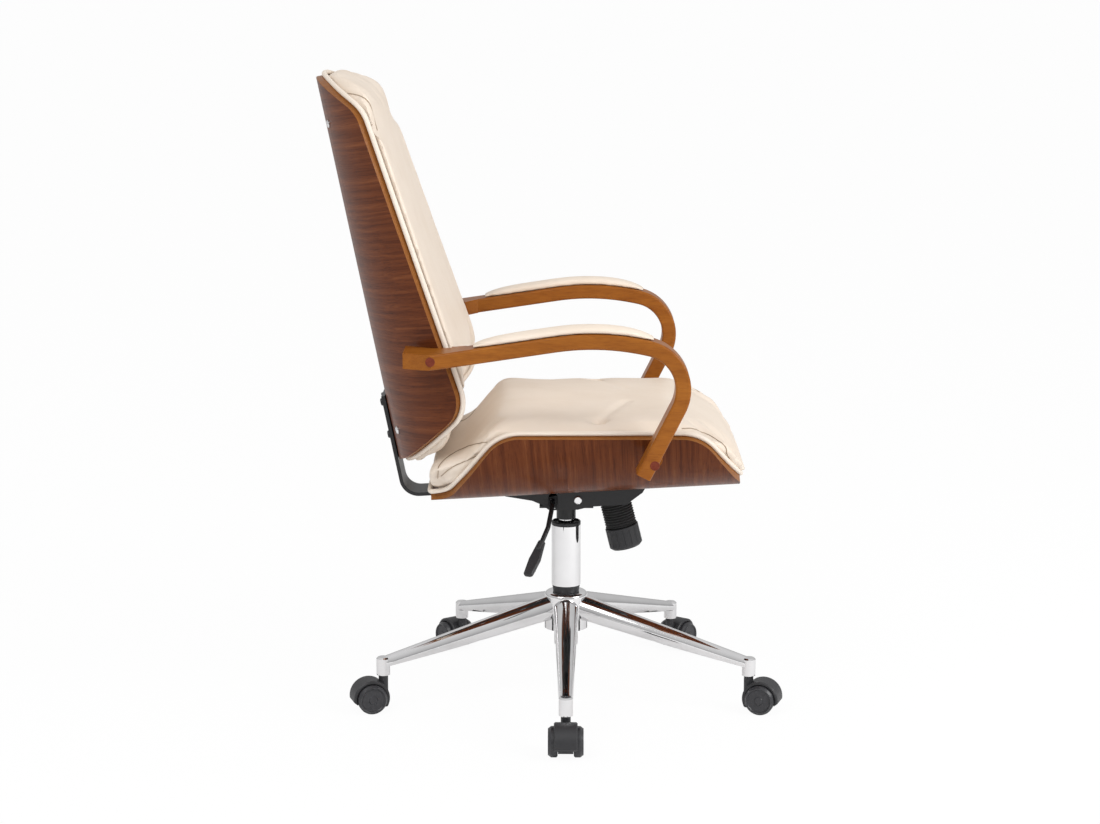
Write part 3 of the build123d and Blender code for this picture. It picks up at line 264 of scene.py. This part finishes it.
def stripWood(name, dark, light, rough, stretch):
    # bent solid wood under a satin lacquer
    finish, tree, shader = newFinish(name)
    where = addNode(tree, "ShaderNodeTexCoord")
    space = addNode(tree, "ShaderNodeMapping", {"Vector": where.outputs["Object"], "Scale": stretch})
    grain = addNode(tree, "ShaderNodeTexNoise", {
        "Vector": space.outputs[0], "Scale": 1.0, "Detail": 6.0, "Roughness": 0.6, "Distortion": 0.8,
    })
    toned = addRamp(tree, grain.outputs["Fac"], [(0.30, dark), (0.68, light)])
    fine = addNode(tree, "ShaderNodeMapping", {"Vector": space.outputs[0], "Scale": satin["fine"]})
    pores = addNode(tree, "ShaderNodeTexNoise", {"Vector": fine.outputs[0], "Scale": 2.0, "Detail": 3.0})
    shade = addRamp(tree, pores.outputs["Fac"], satin["pores"])
    colour = blendColours(
        tree, satin["poreShare"], toned.outputs["Color"], shade.outputs["Color"], "MULTIPLY")
    tree.links.new(colour, shader.inputs["Base Color"])
    shader.inputs["Roughness"].default_value = rough
    shader.inputs["Specular IOR Level"].default_value = satin["shine"]
    shader.inputs["Coat Weight"].default_value = satin["coat"]
    shader.inputs["Coat Roughness"].default_value = satin["coatRough"]
    addBump(tree, shader, pores.outputs["Fac"], *satin["bump"])
    return finish


leather = {
    "tone": (0.770, 0.668, 0.566), "shade": (0.735, 0.628, 0.522), "cloud": 14.0,
    "rough": 0.48, "shine": 0.4, "pebble": 620.0, "wrinkle": 160.0, "bump": (0.16, 0.0007),
}


def creamLeather(name, tone, shade):
    finish, tree, shader = newFinish(name)
    where = addNode(tree, "ShaderNodeTexCoord")
    cloud = addNode(tree, "ShaderNodeTexNoise", {
        "Vector": where.outputs["Object"], "Scale": leather["cloud"], "Detail": 4.0,
    })
    toned = addRamp(tree, cloud.outputs["Fac"], [(0.3, shade), (0.6, tone)])
    tree.links.new(toned.outputs["Color"], shader.inputs["Base Color"])
    pebble = addNode(tree, "ShaderNodeTexVoronoi", {
        "Vector": where.outputs["Object"], "Scale": leather["pebble"],
    }, feature="SMOOTH_F1")
    wrinkle = addNode(tree, "ShaderNodeTexNoise", {
        "Vector": where.outputs["Object"], "Scale": leather["wrinkle"], "Detail": 5.0, "Distortion": 0.6,
    })
    both = addNode(tree, "ShaderNodeMath", {
        0: pebble.outputs["Distance"], 1: wrinkle.outputs["Fac"],
    }, operation="ADD")
    addBump(tree, shader, both.outputs[0], *leather["bump"])
    rough = addNode(tree, "ShaderNodeMapRange", {
        "Value": wrinkle.outputs["Fac"], "To Min": leather["rough"] - 0.06, "To Max": leather["rough"] + 0.1,
    })
    tree.links.new(rough.outputs[0], shader.inputs["Roughness"])
    shader.inputs["Specular IOR Level"].default_value = leather["shine"]
    return finish


black = {"lighter": 1.5, "shine": 0.4, "relief": 0.0004}


def mouldedBlack(name, colour, rough, texture, strength):
    finish, tree, shader = newFinish(name)
    where = addNode(tree, "ShaderNodeTexCoord")
    grit = addNode(tree, "ShaderNodeTexNoise", {
        "Vector": where.outputs["Object"], "Scale": texture, "Detail": 3.0,
    })
    lighter = tuple(c * black["lighter"] for c in colour)
    toned = addRamp(tree, grit.outputs["Fac"], [(0.35, colour), (0.7, lighter)])
    tree.links.new(toned.outputs["Color"], shader.inputs["Base Color"])
    roughMap = addNode(tree, "ShaderNodeMapRange", {
        "Value": grit.outputs["Fac"], "To Min": rough - 0.05, "To Max": rough + 0.08,
    })
    tree.links.new(roughMap.outputs[0], shader.inputs["Roughness"])
    addBump(tree, shader, grit.outputs["Fac"], strength, black["relief"])
    shader.inputs["Specular IOR Level"].default_value = black["shine"]
    return finish


def brightMetal(name, colour, rough, smear):
    finish, tree, shader = newFinish(name)
    where = addNode(tree, "ShaderNodeTexCoord")
    haze = addNode(tree, "ShaderNodeTexNoise", {
        "Vector": where.outputs["Object"], "Scale": smear, "Detail": 5.0,
    })
    dimmer = tuple(c * 0.94 for c in colour)
    toned = addRamp(tree, haze.outputs["Fac"], [(0.3, dimmer), (0.7, colour)])
    tree.links.new(toned.outputs["Color"], shader.inputs["Base Color"])
    roughMap = addNode(tree, "ShaderNodeMapRange", {
        "Value": haze.outputs["Fac"], "To Min": rough * 0.7, "To Max": rough * 1.4,
    })
    tree.links.new(roughMap.outputs[0], shader.inputs["Roughness"])
    shader.inputs["Metallic"].default_value = 1.0
    return finish


backAxis = backPoint(backFrame["bend"], 0, 0)
backVeneer = walnutShell("backVeneer", backAxis, backFrame["tilt"], (3, 3, 140), False)
seatVeneer = walnutShell("seatVeneer", seatFrame["origin"], seatFrame["tilt"], (140, 3, 3), True)
armWood = stripWood("armWood", (0.225, 0.066, 0.0070), (0.320, 0.108, 0.0130), 0.36, (8, 60, 60))
plugWood = stripWood("plugWood", (0.120, 0.020, 0.009), (0.185, 0.036, 0.017), 0.42, (60, 60, 60))
cream = creamLeather("cream", leather["tone"], leather["shade"])
creamPiping = creamLeather("creamPiping", (0.79, 0.70, 0.605), (0.755, 0.66, 0.56))
# dark thread colour: a real thread, whose dark colour is also painted shade in the seam grooves; along the
# rear fold the same dark line is painted shade alone
seamThreadShade = creamLeather("seamThreadShade", (0.36, 0.27, 0.185), (0.30, 0.22, 0.15))
chromePlate = brightMetal("chromePlate", (0.77, 0.765, 0.772), 0.07, 30.0)
plainSteel = brightMetal("plainSteel", (0.56, 0.56, 0.57), 0.28, 90.0)
blackPaint = mouldedBlack("blackPaint", (0.011, 0.011, 0.012), 0.36, 700.0, 0.12)
blackPlastic = mouldedBlack("blackPlastic", (0.020, 0.020, 0.022), 0.46, 900.0, 0.2)
bootRubber = mouldedBlack("bootRubber", (0.022, 0.022, 0.022), 0.62, 500.0, 0.2)
wheelNylon = mouldedBlack("wheelNylon", (0.026, 0.026, 0.029), 0.30, 300.0, 0.08)

finishes = {
    "chrome": chromePlate, "steel": plainSteel, "black_plastic": blackPlastic, "black_paint": blackPaint,
    "boot_rubber": bootRubber, "nylon": wheelNylon, "arm_wood": armWood, "plug_wood": plugWood,
    "upholstery": cream,
}
slotOf = {part["node"]: part["material_slot"] for part in frame["record"]["subparts"]}
for name, obj in frame["nodes"].items():
    finish = {"back_shell": backVeneer, "seat_shell": seatVeneer}.get(name) or finishes[slotOf[name]]
    if not obj.material_slots:
        obj.data.materials.append(finish)
    for place in obj.material_slots:
        place.material = finish
print("finishes on", len(frame["nodes"]), "nodes")


# padded pieces start as copies of their solids, then are rounded off and blown up a little
def copySolid(nodes, name, voxel, rounds, rimOf):
    dropSelection()
    for node in nodes:
        copy = bpy.data.objects.new(name, frame["nodes"][node].data.copy())
        bpy.context.scene.collection.objects.link(copy)
        copy.select_set(True)
        bpy.context.view_layer.objects.active = copy
    if len(nodes) > 1:
        bpy.ops.object.join()
    piece = bpy.context.object
    piece.name = name
    piece.data.materials.clear()
    piece.data.materials.append(cream)
    pick(piece)
    bpy.ops.object.mode_set(mode="EDIT")
    bpy.ops.mesh.select_all(action="SELECT")
    bpy.ops.mesh.remove_doubles(threshold=0.00002)
    bpy.ops.mesh.normals_make_consistent(inside=False)
    bpy.ops.object.mode_set(mode="OBJECT")
    useModifier(piece, "REMESH", mode="VOXEL", voxel_size=voxel)
    solid = readPoints(piece)
    useModifier(piece, "SMOOTH", factor=0.5, iterations=rounds)
    eased = readPoints(piece)
    writePoints(piece, eased + (solid - eased) * rimOf(solid)[:, None])  # the rim stays on its shell
    return piece


air = {"stiff": 20, "bending": 4, "quality": 4, "frames": 20}


def blowUp(piece, held, pressure, most):
    # cloth under air pressure; held is 1 where the piece rests on its shell
    before = readPoints(piece)
    group = piece.vertex_groups.new(name="held")
    chosen = np.nonzero(held)[0].tolist()
    if chosen:
        group.add(chosen, 1.0, "REPLACE")
    pick(piece)
    cloth = piece.modifiers.new("air", "CLOTH")
    cloth.settings.use_pressure = True
    cloth.settings.uniform_pressure_force = pressure
    cloth.settings.effector_weights.gravity = 0
    cloth.settings.vertex_group_mass = "held"
    cloth.settings.tension_stiffness = air["stiff"]
    cloth.settings.compression_stiffness = air["stiff"]
    cloth.settings.bending_stiffness = air["bending"]
    cloth.settings.quality = air["quality"]
    cloth.collision_settings.use_collision = False
    cloth.point_cache.frame_start = 1
    cloth.point_cache.frame_end = air["frames"]
    for step in range(1, air["frames"] + 1):
        bpy.context.scene.frame_set(step)
    bpy.ops.object.modifier_apply(modifier=cloth.name)
    bpy.context.scene.frame_set(1)
    move = readPoints(piece) - before
    length = np.linalg.norm(move, axis=1, keepdims=True)
    move *= np.minimum(1.0, most / np.maximum(length, 1e-9))
    writePoints(piece, before + move)
    piece.vertex_groups.clear()


def nearLine(points, line):
    # distance from every point to an open line
    best = np.full(len(points), 1e9)
    line = [np.array(p) for p in line]
    for a, b in zip(line, line[1:]):
        run = b - a
        share = np.clip(((points - a) @ run) / max(run @ run, 1e-12), 0, 1)
        best = np.minimum(best, np.linalg.norm(points - (a + share[:, None] * run), axis=1))
    return best


def pressIn(piece, line, width, depth):
    # a sewn line or crease draws the surface in
    points = readPoints(piece)
    away = nearLine(points, line)
    writePoints(piece, points - readNormals(piece) * (depth * np.exp(-(away / width) ** 2))[:, None])


def castLine(piece, origins, targets):
    # places on the surface and the way out there
    places, ways = [], []
    for origin, target in zip(origins, targets):
        way = (Vector(target) - Vector(origin)).normalized()
        found, place, normal, face = piece.ray_cast(Vector(origin), way)
        if found:
            places.append(place.copy())
            ways.append(normal.copy())
    return np.array(places), np.array(ways)


def easedLine(places, steps):
    # a smooth line through the given places
    knots = np.array([places[0], *places, places[-1]])
    line = []
    for a, b, c, d in zip(knots, knots[1:], knots[2:], knots[3:]):
        for t in np.linspace(0, 1, steps, endpoint=False):
            square, cube = 2 * a - 5 * b + 4 * c - d, 3 * b - a - 3 * c + d
            line.append(0.5 * (2 * b + (c - a) * t + square * t ** 2 + cube * t ** 3))
    return line + [knots[-1]]


def evened(line, turns):
    for turn in range(turns):
        line[1:-1] = (line[:-2] + line[1:-1] * 2 + line[2:]) / 4
    return line


# dark lines sunk into the seams and the rear fold: thread plus painted groove shade in the seams, painted
# shade alone in the fold
threadShadeLines = {"radius": 0.0007, "sunk": 0.7, "steps": 8, "wayTurns": 20, "lines": []}


def sewnLine(piece, places, side, turns=6):
    # places as the camera sees them, put on the surface; the left side mirrors the right
    eye = Vector(camera["place"])
    eye.y *= -side
    aims = [Vector((x, y * -side, z)) for x, y, z in easedLine(places, threadShadeLines["steps"])]
    line, ways = castLine(piece, [eye] * len(aims), aims)
    return evened(line, turns), evened(ways, threadShadeLines["wayTurns"])


def refineNear(piece, line, width, cuts):
    # finer faces along a line, for the grooves
    pick(piece)
    centres = np.zeros(len(piece.data.polygons) * 3)
    piece.data.polygons.foreach_get("center", centres)
    near = nearLine(centres.reshape(-1, 3), line) < width
    bpy.ops.object.mode_set(mode="EDIT")
    bpy.ops.mesh.select_mode(type="FACE")
    bpy.ops.mesh.select_all(action="DESELECT")
    bpy.ops.object.mode_set(mode="OBJECT")
    piece.data.polygons.foreach_set("select", near)
    bpy.ops.object.mode_set(mode="EDIT")
    bpy.ops.mesh.subdivide(number_cuts=cuts)
    bpy.ops.object.mode_set(mode="OBJECT")


def pressInDarkLine(piece, places, side, width, depth, turns=6):
    # a soft valley with a dark thread lying in it; the thread's dark colour is also painted shade in the
    # groove
    line, ways = sewnLine(piece, places, side, turns)
    line = np.array([piece.closest_point_on_mesh(Vector(place))[1] for place in line])
    pressIn(piece, line, width, depth)
    threadShadeLines["lines"].append(line - ways * (depth - threadShadeLines["radius"] * threadShadeLines["sunk"]))


def softPiece(piece, body, nodes):
    pick(piece)
    bpy.ops.object.shade_smooth()
    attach(piece, body)
    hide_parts(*nodes)


def pipingRoll(name, points, radius, closed, finish):
    # leather cord sewn along an edge: a smooth curve made a tube
    line = bpy.data.curves.new(name, "CURVE")
    line.dimensions = "3D"
    spline = line.splines.new("NURBS")
    spline.points.add(len(points) - 1)
    for knot, place in zip(spline.points, points):
        knot.co = (*place, 1)
    spline.order_u = 3
    spline.use_cyclic_u = closed
    spline.use_endpoint_u = not closed
    spline.resolution_u = 6
    line.bevel_depth = radius
    line.bevel_resolution = 3
    line.use_fill_caps = True
    piece = bpy.data.objects.new(name, line)
    bpy.context.scene.collection.objects.link(piece)
    pick(piece)
    bpy.ops.object.convert(target="MESH")
    piece = bpy.context.object
    piece.data.materials.clear()
    piece.data.materials.append(finish)
    bpy.ops.object.shade_smooth()
    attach(piece, "seat")


def seatReach(points):
    # distance from the bend axes of the seat shell, for points in the row frame
    c, s = math.cos(seatFrame["tilt"]), math.sin(seatFrame["tilt"])
    x, z = points[:, 0], points[:, 2] - seatFrame["origin"].z
    w = -x * s + z * c
    past = np.maximum(np.abs(points[:, 1]) - seatFrame["flat"], 0)
    return np.hypot(past, w - seatFrame["bend"]), x * c + z * s, w


def backReach(points):
    c, s = math.cos(backFrame["tilt"]), math.sin(backFrame["tilt"])
    x, z = points[:, 0] - backFrame["origin"].x, points[:, 2] - backFrame["origin"].z
    d = x * c + z * s
    return np.hypot(points[:, 1], d - backFrame["bend"]), d, -x * s + z * c


def roundedLine(corners, radii, step):
    # a shell's trimmed edge, with arcs at its rounded corners
    corners = [np.array(corner) for corner in corners]
    points = []
    for i, here in enumerate(corners):
        if i not in radii:
            points.append(here)
            continue
        into = (here - corners[i - 1]) / np.linalg.norm(here - corners[i - 1])
        away = (corners[i + 1] - here) / np.linalg.norm(corners[i + 1] - here)
        half = math.acos(into @ away) / 2
        centre = here + (away - into) / np.linalg.norm(away - into) * radii[i] / math.cos(half)
        swing = math.tan(half)
        ends = [here - into * radii[i] * swing - centre, here + away * radii[i] * swing - centre]
        for share in np.linspace(0, 1, 7):
            spoke = ends[0] * (1 - share) + ends[1] * share
            points.append(centre + spoke / np.linalg.norm(spoke) * radii[i])
    line = [points[0]]
    for a, b in zip(points, points[1:]):
        count = max(1, int(np.linalg.norm(b - a) / step))
        line += [a + (b - a) * k / count for k in range(1, count + 1)]
    return np.array(line)


def movedOut(line, amount):
    run = np.gradient(line, axis=0)
    run /= np.linalg.norm(run, axis=1, keepdims=True)
    return line + amount * np.column_stack([-run[:, 1], run[:, 0]])


# how firmly a shell holds the rim of its cushion
hold = {"deep": 0.014, "fade": 0.010, "firm": 0.6, "step": 0.01}

# seat cushion
seat = {
    "voxel": 0.007, "rounds": 10, "smooth": 6, "pressure": 4.0, "most": 0.007, "fill": 0.8,
    "settle": 0.035, "edgeFade": 0.010,
    "frontSeam": [
        (0.1863, -0.22, 0.5104), (0.2079, -0.22, 0.5093), (0.2326, -0.22, 0.499), (0.2513, -0.22, 0.4863),
        (0.2587, -0.22, 0.4779), (0.2596, -0.22, 0.4674), (0.264, -0.22, 0.459),
    ],
    "rearSeam": [
        (-0.1277, -0.22, 0.4864), (-0.1591, -0.22, 0.4811), (-0.1871, -0.22, 0.4669),
        (-0.2049, -0.22, 0.4489), (-0.2077, -0.22, 0.4257),
    ],
    "rearFold": [
        (-0.2033, -0.22, 0.4274), (-0.1839, -0.22, 0.4439),
        (-0.1635, -0.22, 0.4539), (-0.1416, -0.22, 0.4633),
    ],
    "tuft": (0.052, 0.200), "crease": (0.101, 0.060), "over": 0.8, "drop": 0.5, "tuftNear": 0.030,
    "pipingPress": (0.0065, 0.0032), "seamPress": (0.0050, 0.0016), "foldPress": (0.0060, 0.0040),
    "creasePress": (0.009, 0.0026), "tuftPress": (0.008, 0.0060),  # width and depth
}


def seatRim(points):
    # 1 where the shell backs the cushion
    reach, u, w = seatReach(points)
    inner = seatFrame["bend"] - seatFrame["ply"]
    edge = roundedLine(seatPiping["trim"], seatPiping["rounds"], hold["step"])
    room = np.interp(u, edge[:, 0], edge[:, 1], left=0, right=0) - w
    backed = np.clip(room / seat["edgeFade"], 0, 1)
    return np.clip((reach - (inner - hold["deep"])) / hold["fade"], 0, 1) * backed


def makeSeatCushion():
    piece = copySolid(["seat_cushion"], "seatCushion", seat["voxel"], seat["rounds"], seatRim)
    points = readPoints(piece)
    reach, u, w = seatReach(points)
    up = np.array((-math.sin(seatFrame["tilt"]), 0, math.cos(seatFrame["tilt"])))
    writePoints(piece, points - np.outer(seat["settle"] * np.maximum(w - seatFrame["ply"], 0), up))
    held = np.where(seatRim(readPoints(piece)) > hold["firm"], 1.0, 0.0)
    blowUp(piece, held, seat["pressure"], seat["most"])
    useModifier(piece, "SUBSURF", levels=1, render_levels=1)
    useModifier(piece, "SMOOTH", factor=0.5, iterations=seat["smooth"])
    pressIn(piece, seatPipingLine(), *seat["pipingPress"])
    for side in (-1, 1):
        pressInDarkLine(piece, seat["frontSeam"], side, *seat["seamPress"])
        pressInDarkLine(piece, seat["rearSeam"], side, *seat["seamPress"])
        # the fold gets the same dark line, which here is painted shade in the fold's hollow, with no thread
        pressInDarkLine(piece, seat["rearFold"], side, *seat["foldPress"])
        (x, y), (cx, cy) = seat["tuft"], seat["crease"]
        shares = np.linspace(0, 1, 12)
        tops = [Vector((x + (cx - x) * t, side * (y + (cy - y) * t), seat["over"])) for t in shares]
        dip, ways = castLine(piece, tops, [top - Vector((0, 0, seat["drop"])) for top in tops])
        refineNear(piece, dip[:2], seat["tuftNear"], 1)
        pressIn(piece, dip, *seat["creasePress"])
        pressIn(piece, dip[:2], *seat["tuftPress"])
    softPiece(piece, "seat", ["seat_cushion"])


def rimSide(w, inset):
    # half width of the seat shell at a height above its underside, inset from the inner face
    radius = seatFrame["bend"] - seatFrame["ply"] - inset
    return seatFrame["flat"] + math.sqrt(max(radius ** 2 - (seatFrame["bend"] - w) ** 2, 0))


seatPiping = {
    "radius": 0.0040, "inset": 0.0004, "out": 0.0036, "step": 0.03, "rounds": {1: 0.050, 2: 0.065, 3: 0.065},
    "trim": [(-0.224, 0.018), (-0.194, 0.022), (-0.100, 0.1306), (0.224, 0.1125), (0.288, 0.024)],
    "front": 0.2915, "rear": -0.2275, "across": (-0.085, -0.04, 0, 0.04, 0.085),
}


def seatPipingLine():
    edge = roundedLine(seatPiping["trim"], seatPiping["rounds"], seatPiping["step"])
    rim = movedOut(edge, seatPiping["out"])
    inset, lift = seatPiping["inset"], seatFrame["ply"] + seatPiping["radius"]
    loop = [seatPoint(u, -rimSide(w, inset), w) for u, w in rim]
    loop += [seatPoint(seatPiping["front"], y, lift) for y in seatPiping["across"]]
    loop += [seatPoint(u, rimSide(w, inset), w) for u, w in rim[::-1]]
    return loop + [seatPoint(seatPiping["rear"], y, lift) for y in seatPiping["across"][::-1]]


# back cushion with its headrest roll
back = {
    "voxel": 0.0062, "rounds": 26, "smooth": 20, "pressure": 4.0, "most": 0.005, "fill": 0.8,
    "settle": 0.3, "sinkMost": 0.012, "edgeGap": 0.004, "edgeFade": 0.016,
    "headSeam": [
        (-0.3506, -0.16, 1.0421), (-0.3378, -0.16, 1.0413), (-0.3259, -0.16, 1.0381),
        (-0.3149, -0.16, 1.027), (-0.3073, -0.16, 1.0089), (-0.3018, -0.16, 0.984),
    ],
    "headGusset": [
        (-0.3365, -0.16, 1.0329), (-0.3236, -0.16, 1.0199),
        (-0.3128, -0.16, 1.0024), (-0.3054, -0.16, 0.9828),
    ],
    "pipingPress": (0.0065, 0.0028), "gussetPress": (0.012, 0.0035),
    "seamPress": (0.0050, 0.0018), "seamTurns": 40,
}


def backRim(points):
    reach, d, s = backReach(points)
    inner = backFrame["bend"] - backFrame["ply"]
    edge = roundedLine(backPiping["trim"], backPiping["rounds"], hold["step"])
    room = np.interp(s, edge[:, 1], edge[:, 0], left=0, right=0) - d - back["edgeGap"]
    backed = np.clip(room / back["edgeFade"], 0, 1)
    top, bow = backPiping["top"], backPiping["bow"]
    dome = top - bow + np.sqrt(np.maximum(bow ** 2 - points[:, 1] ** 2, 0))
    return np.clip((reach - (inner - hold["deep"])) / hold["fade"], 0, 1) * backed * (s < dome)


def makeBackCushion():
    nodes = ["back_cushion", "headrest_cushion"]
    piece = copySolid(nodes, "backCushion", back["voxel"], back["rounds"], backRim)
    points = readPoints(piece)
    reach, d, s = backReach(points)
    thick = np.maximum(backFrame["bend"] - backFrame["ply"] - reach, 0)
    sink = np.minimum(back["settle"] * thick, back["sinkMost"]) / reach
    ahead = np.array((math.cos(backFrame["tilt"]), 0, math.sin(backFrame["tilt"])))
    points = points + np.outer(sink * (d - backFrame["bend"]), ahead)
    points[:, 1] *= 1 + sink
    writePoints(piece, points)
    held = np.where(backRim(readPoints(piece)) > hold["firm"], 1.0, 0.0)
    blowUp(piece, held, back["pressure"], back["most"])
    useModifier(piece, "SUBSURF", levels=1, render_levels=1)
    useModifier(piece, "SMOOTH", factor=0.5, iterations=back["smooth"])
    pressIn(piece, backPipingLine(), *back["pipingPress"])
    for side in (-1, 1):
        pressIn(piece, sewnLine(piece, back["headGusset"], side)[0], *back["gussetPress"])
        pressInDarkLine(piece, back["headSeam"], side, *back["seamPress"], back["seamTurns"])
    softPiece(piece, "seat", nodes)


backPiping = {
    "radius": 0.0042, "inset": 0.0004, "out": -0.0038, "step": 0.03, "top": 0.470, "bow": 0.330,
    "rounds": {1: 0.056, 2: 0.056},
    "trim": [(0.014, -0.183), (0.145, -0.088), (0.077, 0.408), (0.014, 0.470)],
}


def wingSide(d, inset):
    radius = backFrame["bend"] - backFrame["ply"] - inset
    return math.sqrt(max(radius ** 2 - (backFrame["bend"] - d) ** 2, 0))


def backPipingLine():
    # along the wings and the bowed top edge, and across the foot
    inset, out, top, bow = (backPiping[key] for key in ("inset", "out", "top", "bow"))
    rim = roundedLine(backPiping["trim"], backPiping["rounds"], backPiping["step"])
    rim[:, 1] = [min(s, top - bow + math.sqrt(bow ** 2 - wingSide(d, inset) ** 2)) for d, s in rim]
    rim = movedOut(rim, out)
    depth = backFrame["ply"] + inset
    loop = [backPoint(d, -wingSide(d, inset), s) for d, s in rim] + [backPoint(depth, 0, top - out)]
    loop += [backPoint(d, wingSide(d, inset), s) for d, s in rim[::-1]]
    return loop + [backPoint(depth, 0, backPiping["trim"][0][1] + out)]


# leather lining on the inside of the back shell, behind the padding
lining = {"across": 60, "along": 90, "gap": 0.0012, "thick": 0.0008}


def makeLining():
    dropSelection()
    bpy.ops.mesh.primitive_grid_add(x_subdivisions=lining["across"], y_subdivisions=lining["along"], size=1)
    piece = bpy.context.object
    piece.name = "backLining"
    grid = readPoints(piece)
    edge = roundedLine(backPiping["trim"], backPiping["rounds"], hold["step"])
    top, bow, bend = backPiping["top"], backPiping["bow"], backFrame["bend"]
    radius = bend - backFrame["ply"] - lining["gap"]
    rows = edge[0][1] + (grid[:, 1] + 0.5) * (top - edge[0][1])
    depth = np.interp(rows, edge[:, 1], edge[:, 0])
    swing = grid[:, 0] * 2 * np.arccos(np.clip((bend - depth) / radius, -1, 1))
    y, d = radius * np.sin(swing), bend - radius * np.cos(swing)
    rows = np.minimum(rows, top - bow + np.sqrt(bow ** 2 - y ** 2))
    writePoints(piece, np.array([backPoint(*place) for place in zip(d, y, rows)]))
    useModifier(piece, "SOLIDIFY", thickness=lining["thick"], offset=0)
    piece.data.materials.clear()
    piece.data.materials.append(cream)
    pick(piece)
    bpy.ops.object.shade_smooth()
    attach(piece, "seat")


# arm pads
pads = {"voxel": 0.003, "rounds": 12, "pressure": 3.0, "most": 0.004, "foot": -0.5, "fill": 0.8}


def padRim(points):
    return np.zeros(len(points))  # a pad has no rim to keep


def makePad(side):
    node, name = "arm_pad_" + side, "armPad" + side.capitalize()
    piece = copySolid([node], name, pads["voxel"], pads["rounds"], padRim)
    held = np.where(readNormals(piece)[:, 2] < pads["foot"], 1.0, 0.0)
    blowUp(piece, held, pads["pressure"], pads["most"])
    useModifier(piece, "SUBSURF", levels=1, render_levels=1)
    softPiece(piece, "seat", [node])


makeSeatCushion()
print("seat cushion done")
makeBackCushion()
makeLining()
print("back cushion and lining done")
for padSide in ("right", "left"):
    makePad(padSide)
print("arm pads done")
pipingRoll("seatPiping", seatPipingLine(), seatPiping["radius"], True, creamPiping)
pipingRoll("backPiping", backPipingLine(), backPiping["radius"], True, creamPiping)
# tubes for the dark seam and fold lines; their dark colour paints the shade in the grooves and in the fold
for number, sunk in enumerate(threadShadeLines["lines"]):
    pipingRoll("thread" + str(number), sunk, threadShadeLines["radius"], False, seamThreadShade)
print("piping and", len(threadShadeLines["lines"]), "sewn lines done")


# floor and light
studio = {
    "floor": 60.0, "ahead": 30, "paperShare": 0.95,
    "sky": [(0.0, 0.42), (0.5, 0.40), (0.62, 0.60), (1.0, 0.82)],
    "lamps": [
        {"name": "keyLamp", "place": (-1.6, -2.6, 2.9), "aim": (0, 0, 0.6), "size": 1.8, "power": 50.0},
        {"name": "fillLamp", "place": (2.6, -1.4, 1.9), "aim": (0, 0, 0.5), "size": 1.6, "power": 60.0},
    ],
}


def makeFloor():
    dropSelection()
    bpy.ops.mesh.primitive_plane_add(size=studio["floor"] * 2, location=(0, studio["ahead"], 0))
    floor = bpy.context.object
    floor.name = "studioFloor"
    paper, tree, shader = newFinish("paper")
    shader.inputs["Base Color"].default_value = (0.9, 0.9, 0.9, 1)
    shader.inputs["Roughness"].default_value = 0.9
    shader.inputs["Specular IOR Level"].default_value = 0.1
    glow = addNode(tree, "ShaderNodeEmission", {"Color": (1, 1, 1, 1), "Strength": 1.0})
    path = addNode(tree, "ShaderNodeLightPath")
    share = addNode(tree, "ShaderNodeMath", {
        0: path.outputs["Is Camera Ray"], 1: studio["paperShare"],
    }, operation="MULTIPLY")
    mix = addNode(tree, "ShaderNodeMixShader", {
        0: share.outputs[0], 1: shader.outputs[0], 2: glow.outputs[0],
    })
    tree.links.new(mix.outputs[0], tree.nodes["Material Output"].inputs["Surface"])
    floor.data.materials.append(paper)


def makeSky():
    # dimmer round the horizon and brighter overhead, white where the camera looks past the floor
    world = bpy.data.worlds.new("studioWorld")
    bpy.context.scene.world = world
    world.use_nodes = True
    tree = world.node_tree
    soft = tree.nodes["Background"]
    where = addNode(tree, "ShaderNodeTexCoord")
    axes = addNode(tree, "ShaderNodeSeparateXYZ", {0: where.outputs["Generated"]})
    height = addNode(tree, "ShaderNodeMapRange", {
        "Value": axes.outputs["Z"], "From Min": -1.0, "From Max": 1.0,
    })
    tones = [(place, (level, level, level)) for place, level in studio["sky"]]
    tone = addRamp(tree, height.outputs[0], tones)
    tree.links.new(tone.outputs["Color"], soft.inputs["Color"])
    soft.inputs["Strength"].default_value = 1.0
    white = addNode(tree, "ShaderNodeBackground", {"Color": (1, 1, 1, 1), "Strength": 1.0})
    path = addNode(tree, "ShaderNodeLightPath")
    mix = addNode(tree, "ShaderNodeMixShader", {
        0: path.outputs["Is Camera Ray"], 1: soft.outputs[0], 2: white.outputs[0],
    })
    tree.links.new(mix.outputs[0], tree.nodes["World Output"].inputs["Surface"])


def makeLamps():
    for kind in studio["lamps"]:
        place, aim = Vector(kind["place"]), Vector(kind["aim"])
        bpy.ops.object.light_add(type="AREA", location=place)
        lamp = bpy.context.object
        lamp.name = kind["name"]
        lamp.data.size = kind["size"]
        lamp.data.energy = kind["power"]
        lamp.rotation_euler = (aim - place).to_track_quat("-Z", "Y").to_euler()


makeFloor()
makeSky()
makeLamps()
print("stage done")
